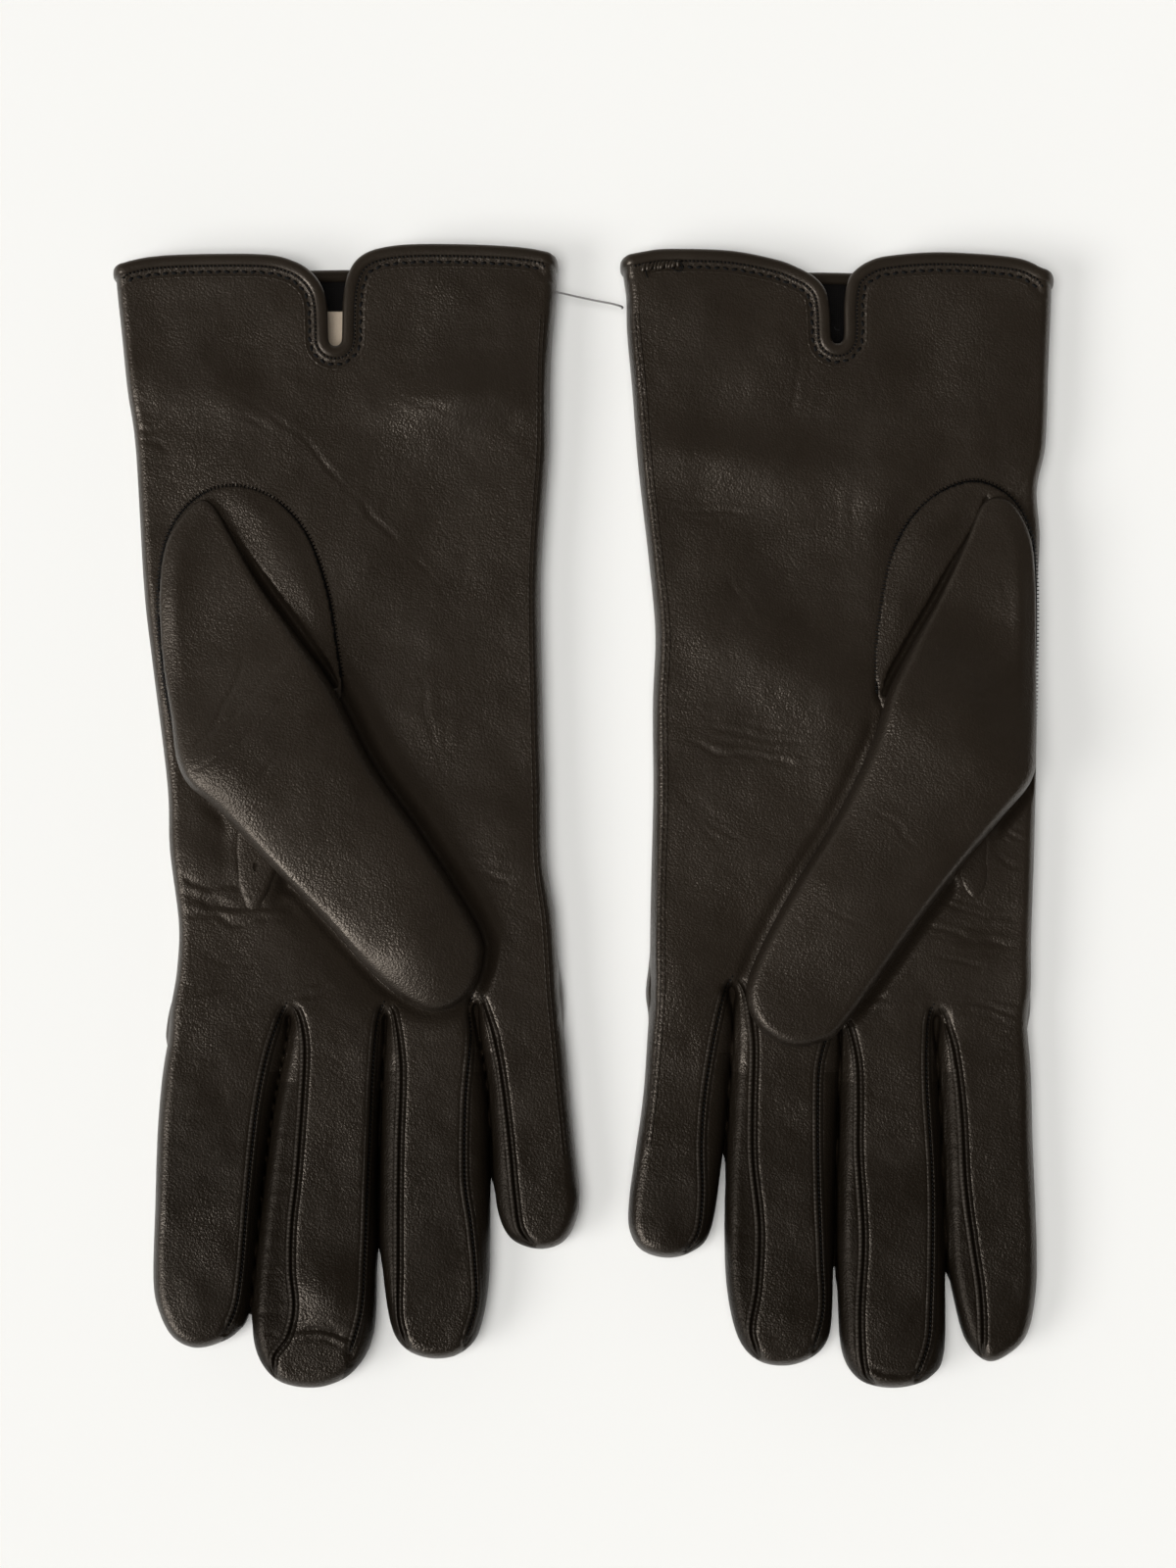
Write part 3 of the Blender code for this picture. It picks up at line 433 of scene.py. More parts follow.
def smooth_path(points, spacing=0.6, closed=False):
    """A Catmull-Rom curve through the points, with about one point per spacing."""
    given = np.array(points, float)
    if closed:
        padded = np.vstack([given[-1:], given, given[:2]])
    else:
        padded = np.vstack([2 * given[:1] - given[1:2], given, 2 * given[-1:] - given[-2:-1]])
    stretches = []
    for index in range(1, len(padded) - 2):
        before, start, end, after = padded[index - 1 : index + 3]
        count = max(1, math.ceil(np.linalg.norm(end - start) / spacing))
        u = (np.arange(count) / count)[:, None]
        cubic = -before + 3 * start - 3 * end + after
        square = 2 * before - 5 * start + 4 * end - after
        stretches.append(0.5 * (2 * start + (end - before) * u + square * u**2 + cubic * u**3))
    if not closed:
        stretches.append(given[-1:])
    return np.vstack(stretches)


def even_path(points, spacing):
    """The path with its points moved to equal steps."""
    given = np.array(points, float)
    steps = np.linalg.norm(np.diff(given, axis=0), axis=1)
    along = np.concatenate([[0], np.cumsum(steps)])
    count = max(2, round(along[-1] / spacing) + 1)
    wanted = np.linspace(0, along[-1], count)
    return np.column_stack([np.interp(wanted, along, given[:, axis]) for axis in range(given.shape[1])])


def ways_of(path, closed=False):
    """The unit direction of the path at each of its points."""
    if closed:
        ways = np.roll(path, -1, axis=0) - np.roll(path, 1, axis=0)
    else:
        ways = np.gradient(path, axis=0)
    return ways / np.linalg.norm(ways, axis=1, keepdims=True)


def left_of(ways):
    """The directions a quarter turn to the left of these."""
    return np.column_stack([-ways[:, 1], ways[:, 0]])


def path_length(path):
    return float(np.linalg.norm(np.diff(path, axis=0), axis=1).sum())


def in_box(x, y, path, reach_x, reach_y=math.inf):
    """Which points are inside the path's own box, made wider by these reaches."""
    near = (x > path[:, 0].min() - reach_x) & (x < path[:, 0].max() + reach_x)
    return near & (y > path[:, 1].min() - reach_y) & (y < path[:, 1].max() + reach_y)


def near_path(x, y, path):
    """Signed distance of each point from the path, positive on its left, and how far along it that is."""
    best = np.full(x.shape, 1e9)
    side = np.ones(x.shape)
    along = np.zeros(x.shape)
    travelled = 0.0
    for start, end in zip(path[:-1], path[1:]):
        way = end - start
        length = math.hypot(way[0], way[1])
        if length < 1e-9:
            continue
        from_x = x - start[0]
        from_y = y - start[1]
        part = np.clip((from_x * way[0] + from_y * way[1]) / length**2, 0, 1)
        square = (from_x - part * way[0]) ** 2 + (from_y - part * way[1]) ** 2
        nearer = square < best
        best = np.where(nearer, square, best)
        side = np.where(nearer, np.sign(way[0] * from_y - way[1] * from_x), side)
        along = np.where(nearer, travelled + part * length, along)
        travelled += length
    return np.sqrt(best) * side, along


def outline_distance(x, y, outline):
    """Signed distance from a closed outline, negative inside."""
    ring = np.vstack([outline, outline[:1]])
    distance = np.abs(near_path(x, y, ring)[0])
    within = np.zeros(x.shape, bool)
    for start, end in zip(ring[:-1], ring[1:]):
        if start[1] == end[1]:
            continue
        crosses = (start[1] > y) != (end[1] > y)
        edge_x = start[0] + (end[0] - start[0]) * (y - start[1]) / (end[1] - start[1])
        within ^= crosses & (x < edge_x)
    return np.where(within, -distance, distance)


def smooth_step(low, high, value):
    """0 at low, 1 at high and a smooth ramp between. Low may be the greater."""
    part = np.clip((value - low) / (high - low), 0, 1)
    return part * part * (3 - 2 * part)


def smooth_least(first, second, blend):
    """The lesser of two fields, rounded over blend where they meet."""
    part = np.clip(0.5 + 0.5 * (second - first) / blend, 0, 1)
    return second + (first - second) * part - blend * part * (1 - part)


def bell(distance, width):
    return np.exp(-((distance / width) ** 2))


def bilinear(values, column, row, part_u, part_v):
    """Values between four neighbours on a grid."""
    low = values[column, row] * (1 - part_u) + values[column + 1, row] * part_u
    high = values[column, row + 1] * (1 - part_u) + values[column + 1, row + 1] * part_u
    return low * (1 - part_v) + high * part_v


def soft_noise(x, y, scale, seed):
    """Smooth noise from -1 to 1 with features of about scale."""
    lattice = np.random.default_rng(SEED * 1000 + seed).uniform(-1, 1, (256, 256))
    u = x / scale + 128
    v = y / scale + 128
    column = np.floor(u).astype(int)
    row = np.floor(v).astype(int)
    part_u = u - column
    part_v = v - row
    part_u = part_u**3 * (part_u * (part_u * 6 - 15) + 10)
    part_v = part_v**3 * (part_v * (part_v * 6 - 15) + 10)
    return bilinear(lattice, column % 255, row % 255, part_u, part_v)


# --- Meshes -----------------------------------------------------------------------------------------


def vertex_normals(points, faces):
    """Area-weighted normals of the points of a mesh of quads."""
    corner = points[faces]
    face_normals = np.cross(corner[:, 2] - corner[:, 0], corner[:, 3] - corner[:, 1])
    normals = np.zeros_like(points)
    for axis in range(3):
        for place in range(4):
            normals[:, axis] += np.bincount(
                faces[:, place], face_normals[:, axis], minlength=len(points)
            )
    return normals / np.maximum(np.linalg.norm(normals, axis=1, keepdims=True), 1e-12)


def mesh_object(name, points, faces, normals=None):
    """A smooth-shaded object from points in millimetres and faces of equal size."""
    faces = np.asarray(faces, np.int32)
    sides = faces.shape[1]
    mesh = bpy.data.meshes.new(name)
    mesh.vertices.add(len(points))
    mesh.vertices.foreach_set("co", (np.asarray(points, np.float64) * MM).ravel())
    mesh.loops.add(faces.size)
    mesh.loops.foreach_set("vertex_index", faces.ravel())
    mesh.polygons.add(len(faces))
    mesh.polygons.foreach_set("loop_start", np.arange(0, faces.size, sides, dtype=np.int32))
    mesh.update(calc_edges=True)
    mesh.validate()
    mesh.polygons.foreach_set("use_smooth", np.ones(len(mesh.polygons), bool))
    if normals is not None:
        mesh.normals_split_custom_set_from_vertices([tuple(normal) for normal in normals.tolist()])
    item = bpy.data.objects.new(name, mesh)
    bpy.context.scene.collection.objects.link(item)
    return item


def panel(name, skin, keep):
    """One panel of a skin: the faces where keep is true, shaded as part of the whole."""
    points, faces, normals = skin
    kept = faces[keep]
    used, index = np.unique(kept, return_inverse=True)
    return mesh_object(name, points[used], index.reshape(kept.shape), normals[used])


def grid_faces(rows, columns, wrap_rows=False, wrap_columns=False):
    """Quads of a grid of points listed row by row."""
    down = np.arange(rows if wrap_rows else rows - 1)
    across = np.arange(columns if wrap_columns else columns - 1)
    row, column = np.meshgrid(down, across, indexing="ij")
    next_row = (row + 1) % rows
    next_column = (column + 1) % columns
    corners = [row * columns + column, next_row * columns + column,
               next_row * columns + next_column, row * columns + next_column]
    return np.stack(corners, axis=-1).reshape(-1, 4)


def isosurface(field, low):
    """The zero surface of a field sampled every CELL from low."""
    grid = openvdb.FloatGrid()
    grid.background = 3 * CELL
    grid.copyFromArray(np.ascontiguousarray(np.clip(field, -3 * CELL, 3 * CELL), np.float32))
    points, faces = grid.convertToQuads(0.0)
    points = points.astype(float) * CELL + np.array(low)
    faces = faces.astype(np.int64)
    corner = points[faces]
    turned = np.cross(corner[:, 2] - corner[:, 0], corner[:, 3] - corner[:, 1])
    if (turned * corner.mean(axis=1)).sum() < 0:
        faces = faces[:, ::-1]
    return points, faces


class Sheet:
    """A regular grid over the floor plan that fields are worked out on and read back from."""

    def __init__(self, low, high, cell=CELL):
        self.low = np.array(low, float)
        self.cell = cell
        self.x = np.arange(low[0], high[0] + cell, cell)
        self.y = np.arange(low[1], high[1] + cell, cell)
        self.mesh_x, self.mesh_y = np.meshgrid(self.x, self.y, indexing="ij")

    def read(self, values, x, y):
        """The values between grid points, by bilinear weights."""
        u = np.clip((x - self.low[0]) / self.cell, 0, len(self.x) - 1.001)
        v = np.clip((y - self.low[1]) / self.cell, 0, len(self.y) - 1.001)
        column = u.astype(int)
        row = v.astype(int)
        return bilinear(values, column, row, u - column, v - row)


def blurred(values, width):
    """Values on a Sheet, smoothed by a bell of this width in millimetres."""
    reach = math.ceil(3 * width / CELL)
    weights = np.exp(-0.5 * (np.arange(-reach, reach + 1) * CELL / width) ** 2)
    weights /= weights.sum()
    for axis in (0, 1):
        values = np.apply_along_axis(np.convolve, axis, values, weights, mode="same")
    return values


def slab(distance, height, half, edge):
    """Field of a flat shape with rounded edges, height measured from its middle."""
    out = distance + edge
    up = np.abs(height) - (half - edge)
    outside = np.sqrt(np.maximum(out, 0) ** 2 + np.maximum(up, 0) ** 2)
    return outside + np.minimum(np.maximum(out, up), 0) - edge


def slab_top(distance, half, edge):
    """Height above its middle of the same shape's upper face."""
    out = np.clip(distance + edge, 0, edge)
    return half - edge + np.sqrt(np.maximum(edge**2 - out**2, 0))


# --- Relief -----------------------------------------------------------------------------------------


def crease_relief(x, y, creases):
    """Height changes from creases, each a soft valley with low shoulders that fades out at both ends."""
    relief = np.zeros(x.shape)
    for number, (points, depth, width) in enumerate(creases):
        path = smooth_path(points, 2.0)
        near = in_box(x, y, path, 5 * width, 5 * width)
        if not near.any():
            continue
        near_x, near_y = x[near], y[near]
        side, along = near_path(near_x, near_y, path)
        length = path_length(path)
        fade = smooth_step(0, 0.3 * length, along) * smooth_step(0, 0.35 * length, length - along)
        shape = 0.22 * bell(side, 2.4 * width)
        for strand, (offset, weight) in enumerate(STRANDS if width >= 1 else STRANDS[:1]):
            seed = 40 + number + 100 * strand
            wander = soft_noise(near_x, near_y, 6.5, seed) + 0.3 * soft_noise(near_x, near_y, 2.4, seed + 50)
            broken = np.clip(0.8 + 0.6 * soft_noise(near_x, near_y, 5.0, seed + 25), 0, 1.2)
            beside = side + width * (offset + 0.8 * wander)
            shape = shape - weight * broken * bell(beside, 0.55 * width)
        relief[near] += CREASE_GAIN * depth * fade * shape
    return relief


def swell_relief(x, y, swells):
    """Height changes from swells, each an oval hump or hollow."""
    relief = np.zeros(x.shape)
    for (centre_x, centre_y), length, width, turn, height in swells:
        angle = math.radians(turn)
        across = x - centre_x
        up = y - centre_y
        u = (across * math.cos(angle) + up * math.sin(angle)) / length
        v = (up * math.cos(angle) - across * math.sin(angle)) / width
        relief += SWELL_GAIN * height * np.exp(-(u**2 + v**2))
    return relief


def slack_relief(x, y, seed):
    """Soft unevenness of leather that nothing stretches."""
    relief = 0.17 * soft_noise(x, y, 14, seed + 1) + 0.09 * soft_noise(x, y, 6, seed + 2)
    return relief + 0.035 * soft_noise(x, y, 2.6, seed + 3)


def simulated_slack(sheet, distance, seed):
    """How the palm's leather buckles when a cloth simulation lets it out between the seams that hold it."""
    coarse = Sheet((sheet.x[0], -52.0), (sheet.x[-1], sheet.y[-1]), SLACK_PITCH)
    held = sheet.read(distance, coarse.mesh_x, coarse.mesh_y) > -4.5
    held |= coarse.mesh_y < -46
    start = np.where(held, 0, 0.6 * soft_noise(coarse.mesh_x, coarse.mesh_y, 24, seed))
    points = np.stack([coarse.mesh_x, coarse.mesh_y, start], axis=-1).reshape(-1, 3)
    leather = mesh_object("slack", points * SLACK_SCALE, grid_faces(*start.shape))
    pins = leather.vertex_groups.new(name="seams")
    pins.add(np.flatnonzero(held).tolist(), 1.0, "ADD")
    modifier = leather.modifiers.new("leather", "CLOTH")
    cloth = modifier.settings
    cloth.vertex_group_mass = "seams"
    cloth.quality = 6
    cloth.mass = 0.3
    cloth.tension_stiffness = 30
    cloth.compression_stiffness = 30
    cloth.shear_stiffness = 20
    cloth.bending_stiffness = 20
    cloth.shrink_min = -SLACK_GROWTH
    cloth.air_damping = 3
    cloth.effector_weights.gravity = 0
    modifier.collision_settings.use_collision = False
    modifier.point_cache.frame_end = SLACK_FRAMES
    scene = bpy.context.scene
    for tick in range(1, SLACK_FRAMES + 1):
        scene.frame_set(tick)
    settled = leather.evaluated_get(bpy.context.evaluated_depsgraph_get()).data
    places = np.empty(3 * len(settled.vertices))
    settled.vertices.foreach_get("co", places)
    height = places[2::3].reshape(start.shape) * SLACK_SHARE / (MM * SLACK_SCALE)
    bpy.data.objects.remove(leather, do_unlink=True)
    scene.frame_set(1)
    return blurred(coarse.read(height, sheet.mesh_x, sheet.mesh_y), 2.2)


def press(points, faces, relief):
    """The skin with its upward faces raised by relief."""
    normals = vertex_normals(points, faces)
    weight = smooth_step(0.15, 0.75, normals[:, 2])
    moved = points.copy()
    moved[:, 2] += weight * relief
    return moved, faces, vertex_normals(moved, faces)


# --- Skins ------------------------------------------------------------------------------------------


def cuff_front(glove):
    """The front edge of the cuff from left to right, down and round its notch."""
    (centre_x, centre_y), radius = glove["notch"]
    angles = np.linspace(math.pi, 2 * math.pi, 9)
    arc = [(centre_x + radius * math.cos(a), centre_y + radius * math.sin(a)) for a in angles]
    return smooth_path(list(glove["cuff_left"]) + arc + list(glove["cuff_right"]), 0.5)


def beyond_cuff(x, y, edge):
    """Signed distance from the cuff's edge, negative inside the glove."""
    left = (edge[0][0] - 40, edge[0][1])
    right = (edge[-1][0] + 40, edge[-1][1])
    outline = np.vstack([[left], edge, [right, (right[0], -300), (left[0], -300)]])
    return outline_distance(x, y, outline)


def past_bend(glove, x, y):
    """How far along the thumb a point is from where it bends."""
    bend, way = glove["bend"], glove["way"]
    return (x - bend[0]) * way[0] + (y - bend[1]) * way[1]


def right_of_thumb(glove, x, y):
    """How far a point is to the right of the line down the thumb's middle."""
    bend, way = glove["bend"], glove["way"]
    return (y - bend[1]) * way[0] - (x - bend[0]) * way[1]


def along_seams(glove, x, y, reach_x, reach_y=math.inf):
    """The points near each finger seam, their distance outwards from it and how far along it they are."""
    for shape in glove["fingers"].values():
        for side, points in shape["seams"].items():
            path = smooth_path(points, 1.0)
            near = in_box(x, y, path, reach_x, reach_y)
            if near.any():
                distance, along = near_path(x[near], y[near], path)
                yield near, -distance if side == "left" else distance, along


def thumb_dip(glove, x, y, plan):
    """How far the palm's leather dips beside the thumb and falls towards it."""
    beside = plan["sheet"].read(plan["flap"], x, y)
    clear = smooth_step(0, 4, plan["sheet"].read(plan["quirk"], x, y)) * smooth_step(-54, -42, y)
    right = smooth_step(-3, 6, right_of_thumb(glove, x, y))
    beyond = past_bend(glove, x, y)
    clear *= right * smooth_step(42, 32, y) + (1 - right) * smooth_step(4, 12, beyond)
    depth = THUMB_DIP + (THUMB_SHADE_DIP - THUMB_DIP) * right
    dip = clear * depth * bell(beside - 0.9, 1.7)
    if glove is RIGHT:
        clear *= (1 - right) * smooth_step(8, 30, beyond)
        dip += clear * THUMB_FALL * bell(np.maximum(beside, 0), 6.5)
    return dip


def palm_relief(glove, x, y, plan):
    """Everything that lifts or sinks the palm's upper face."""
    sheet = plan["sheet"]
    relief = crease_relief(x, y, glove["creases"]) + swell_relief(x, y, glove["swells"])
    relief += slack_relief(x, y, plan["seed"]) + sheet.read(plan["slack"], x, y)
    # Nothing stands up where the thumb lies.
    relief = np.minimum(relief, 0.05 + 3.0 * smooth_step(-2, 5, sheet.read(plan["thumb"], x, y)))
    relief -= thumb_dip(glove, x, y, plan)
    relief -= CREVICE_DEPTH * sheet.read(plan["crevice"], x, y)
    # Flat along the cuff, with a groove for its stitches.
    edge = sheet.read(plan["front"], x, y)
    relief *= smooth_step(2.5, 12, -edge)
    return relief - 0.35 * bell(edge + STITCH_INSET, 0.8)


def seam_trough(glove, x, y):
    """The channels that the finger seams lie in, and the fall of the fourchettes outside them."""
    trough = np.zeros(x.shape)
    for near, outward, along in along_seams(glove, x, y, 12, 3):
        start = smooth_step(0, 5, along)
        trough[near] += start * (fourchette_relief(x[near], y[near], outward) - 1.15 * bell(outward, 0.75))
    return trough


def fourchette_relief(x, y, outward):
    """A fourchette's fall away from its seam, and its small wrinkles across the finger."""
    fall = smooth_step(0, 2.5, outward) * bell(np.maximum(outward - 3, 0), 4)
    wrinkles = soft_noise(x * 0.25, y, 1.4, 71) + 0.7 * soft_noise(x * 0.25, y, 3.1, 72)
    wrinkles *= smooth_step(0.9, 2.2, outward) * smooth_step(9, 6, outward)
    wrinkles *= 0.5 + 0.6 * np.maximum(soft_noise(x, y, 15, 73), 0)
    return 0.07 * wrinkles - 0.35 * fall


def beside_valley(glove, x, y):
    """Distance from the fold between the thumb and its base, positive on the base, and how open it is."""
    path = smooth_path(glove["valley"], 1.2)
    side, along = near_path(x, y, path)
    opened = smooth_step(3, 26, along) * smooth_step(-6, 6, path_length(path) - along)
    return (side if glove is RIGHT else -side), opened


def crevice(glove, x, y):
    """Depth of the fold that runs beside the thumb, as a share of its full depth."""
    beside, opened = beside_valley(glove, x, y)
    return opened * bell(beside - 0.5 * CREVICE_WIDTH, 0.55 * CREVICE_WIDTH)


def plan_of(glove):
    """Floor-plan fields of a glove: distances from its outlines and the height of its upper face."""
    palm = np.array(glove["palm"])
    low = (palm[:, 0].min() - 3, -143.0)
    high = (palm[:, 0].max() + 5, 143.0)
    sheet = Sheet(low, high)
    x, y = sheet.mesh_x, sheet.mesh_y
    steep = FINGER_STEEP + (EDGE_STEEP - FINGER_STEEP) * smooth_step(-62, -40, y)
    distance = outline_distance(x, y, smooth_path(glove["palm"], 1.5, closed=True))
    web = distance
    webbing = 1.2 + 3.8 * smooth_step(-60, -53, y)
    fingers = [
        outline_distance(x, y, smooth_path(shape["outline"], 1.5, closed=True))
        for shape in glove["fingers"].values()
    ]
    for number, finger in enumerate(fingers):
        # Neighbouring fingers press against each other.
        others = np.minimum.reduce(fingers[:number] + fingers[number + 1 :])
        finger = finger - 0.3 * (1 - smooth_step(0.5, 1.4, others))
        web = smooth_least(web, finger, webbing)
        fingers[number] = smooth_least(distance, finger, 1.2)
    distance = np.minimum.reduce(fingers)
    edge = cuff_front(glove)
    front = beyond_cuff(x, y, edge)
    back = beyond_cuff(x, y, smooth_path(glove["cuff_back"], 2.0))
    thumb = [
        outline_distance(x, y, smooth_path(glove[key], 2.0, closed=True))
        for key in ("oval", "flap", "quirk")
    ]
    seed = 10 if glove is RIGHT else 20
    return {
        "sheet": sheet,
        "seed": seed,
        "slack": simulated_slack(sheet, np.maximum(distance, front), seed),
        "thumb": np.minimum.reduce(thumb),
        "flap": thumb[1],
        "quirk": thumb[2],
        "distance": distance,
        "web": web,
        "front": front,
        "back": back,
        "edge": edge,
        "steep": steep,
        "crevice": crevice(glove, x, y),
        "top": PALM_MIDDLE + slab_top(distance * steep, PALM_HALF, PALM_EDGE),
    }


def palm_skin(glove, plan):
    """The palm and fingers as one closed skin, open at the cuff. Also says which faces line the inside."""
    sheet = plan["sheet"]
    z = np.arange(-2 * CELL, PALM_TOP + 3 * CELL, CELL) - PALM_MIDDLE
    height = z[None, None, :]
    distance = plan["distance"][:, :, None]
    steep = plan["steep"][:, :, None]
    outer = slab(distance * steep, height, PALM_HALF, PALM_EDGE)
    web_half = PALM_HALF - WEB_DROP
    web = slab(plan["web"][:, :, None] * steep, height + WEB_DROP, web_half, web_half - 0.3)
    outer = np.minimum(outer, web)
    inner = slab((distance + SIDE_WALL) * steep, height, PALM_HALF - WALL, PALM_EDGE - WALL)
    inner = np.maximum(inner, CAVITY_END - sheet.mesh_y[:, :, None])
    # The cuff's back edge cuts the lower half and its front edge the upper half.
    upper = smooth_step(-1.5, 1.5, height)
    cut = plan["back"][:, :, None] * (1 - upper) + plan["front"][:, :, None] * upper
    field = np.maximum(np.maximum(outer, -inner), cut + 0.6)
    low = (sheet.low[0], sheet.low[1], z[0] + PALM_MIDDLE)
    points, faces = isosurface(field, low)
    middle = points[faces].mean(axis=1)
    depth = sheet.read(plan["distance"], middle[:, 0], middle[:, 1])
    depth = (depth + 0.5 * SIDE_WALL) * EDGE_STEEP
    half = PALM_HALF - 0.5 * WALL
    inside = slab(depth, middle[:, 2] - PALM_MIDDLE, half, PALM_EDGE - 0.5 * WALL) < 0
    inside &= middle[:, 1] > CAVITY_END - 2
    relief = palm_relief(glove, points[:, 0], points[:, 1], plan)
    relief += seam_trough(glove, points[:, 0], points[:, 1])
    return press(points, faces, relief), inside


def thumb_plan(glove):
    """Floor-plan fields of the folded thumb and of its oval base."""
    both = np.array(glove["flap"] + glove["oval"])
    sheet = Sheet(both.min(axis=0) - 3, both.max(axis=0) + 3)
    x, y = sheet.mesh_x, sheet.mesh_y
    flap_distance = outline_distance(x, y, smooth_path(glove["flap"], 1.2, closed=True))
    oval_distance = outline_distance(x, y, smooth_path(glove["oval"], 1.2, closed=True))
    from_seam = np.abs(near_path(x, y, smooth_path(glove["left_seam"], 1.2))[0])
    # The thumb grows thicker out of its base and away from its seam, and thins to its tip.
    beyond = past_bend(glove, x, y)
    swelling = 2.2 + (THUMB_HALF - 2.2) * smooth_step(-60, 8, beyond)
    rising = 1.7 + 0.02 * from_seam + 6.0 * smooth_step(-30, 16, beyond)
    half = np.minimum(smooth_least(swelling, rising, 2.0), THUMB_HALF)
    half -= 0.8 * (1 - 1.3 * glove["tip_flat"]) * smooth_step(55, 85, beyond)
    half = np.maximum(half, 0.9)
    edge = np.minimum(half - 0.05, THUMB_EDGE)
    # The base is lowest at its edge and along its fold with the thumb, and is cut away in that fold.
    beside, opened = beside_valley(glove, x, y)
    crest = smooth_step(0.4, 8.5, beside) * smooth_step(-0.5, 5.5, -oval_distance)
    oval_half = OVAL_HALF + OVAL_CREST * crest
    slot = np.minimum(opened * CREVICE_WIDTH - beside, beside + 0.9)
    oval_distance = np.maximum(oval_distance, slot)
    oval_edge = np.minimum(oval_half - 0.05, 1.2)
    return {
        "sheet": sheet,
        "flap": flap_distance,
        "oval": oval_distance,
        "half": half,
        "edge": edge,
        "oval_half": oval_half,
        "oval_edge": oval_edge,
    }


def lying_skin(plan, distance, half, edge, relief_of):
    """A closed skin of varying thickness that lies on the palm."""
    sheet = plan["sheet"]
    z = np.arange(THUMB_FLOOR - 3 * CELL, THUMB_FLOOR + 2 * half.max() + 3 * CELL, CELL)
    height = z[None, None, :] - THUMB_FLOOR - half[:, :, None]
    field = slab(distance[:, :, None] * FINGER_STEEP, height, half[:, :, None], edge[:, :, None])
    points, faces = isosurface(field, (sheet.low[0], sheet.low[1], z[0]))
    return press(points, faces, relief_of(points[:, 0], points[:, 1]))


# --- Materials --------------------------------------------------------------------------------------


RANGE_SOCKETS = ("From Min", "From Max", "To Min", "To Max")
# The colour sockets of a Mix node.
MIX_INPUTS = (6, 7)
MIX_OUTPUT = 2


class Nodes:
    """Short ways to add and join shader nodes."""

    def __init__(self, name):
        self.material = bpy.data.materials.new(name)
        self.material.use_nodes = True
        self.tree = self.material.node_tree
        self.shader = self.tree.nodes["Principled BSDF"]
        self.place = self.add("ShaderNodeTexCoord").outputs["Object"]

    def add(self, kind, **settings):
        node = self.tree.nodes.new(kind)
        for key, value in settings.items():
            if key in node.inputs:
                node.inputs[key].default_value = value
            else:
                setattr(node, key, value)
        return node

    def fill(self, socket, value):
        """Joins another node's output to a socket, or sets the socket to a number or a colour."""
        if isinstance(value, bpy.types.NodeSocket):
            self.tree.links.new(value, socket)
        elif isinstance(value, tuple):
            socket.default_value = (*value, 1)
        else:
            socket.default_value = value

    def shade(self, socket, value):
        """Fills a socket of the shader itself."""
        self.fill(self.shader.inputs[socket], value)

    def noise(self, scale, detail=2.0, roughness=0.5, place=None):
        node = self.add("ShaderNodeTexNoise", Scale=scale, Detail=detail, Roughness=roughness)
        self.fill(node.inputs["Vector"], place or self.place)
        return node.outputs["Fac"]

    def cells(self, scale):
        node = self.add("ShaderNodeTexVoronoi", feature="F1", Scale=scale)
        self.fill(node.inputs["Vector"], self.place)
        return node.outputs["Distance"]

    def bands(self, direction, scale):
        node = self.add("ShaderNodeTexWave", wave_type="BANDS", bands_direction=direction, Scale=scale)
        self.fill(node.inputs["Vector"], self.place)
        return node.outputs["Fac"]

    def stretched(self, scale, turn):
        node = self.add("ShaderNodeMapping", Scale=scale, Rotation=(0, 0, turn))
        self.fill(node.inputs["Vector"], self.place)
        return node.outputs["Vector"]

    def span(self, value, low, high, out_low, out_high):
        node = self.add("ShaderNodeMapRange")
        for socket, number in zip(RANGE_SOCKETS, (low, high, out_low, out_high)):
            node.inputs[socket].default_value = number
        self.fill(node.inputs["Value"], value)
        return node.outputs["Result"]

    def work(self, operation, first, second):
        node = self.add("ShaderNodeMath", operation=operation)
        for socket, value in zip(node.inputs, (first, second)):
            self.fill(socket, value)
        return node.outputs["Value"]

    def mixed(self, factor, first, second, blend="MIX"):
        node = self.add("ShaderNodeMix", data_type="RGBA", blend_type=blend)
        self.fill(node.inputs["Factor"], factor)
        for place, colour in zip(MIX_INPUTS, (first, second)):
            self.fill(node.inputs[place], colour)
        return node.outputs[MIX_OUTPUT]

    def bump(self, height, strength, distance):
        node = self.add("ShaderNodeBump", Strength=strength, Distance=distance)
        self.fill(node.inputs["Height"], height)
        self.shade("Normal", node.outputs["Normal"])


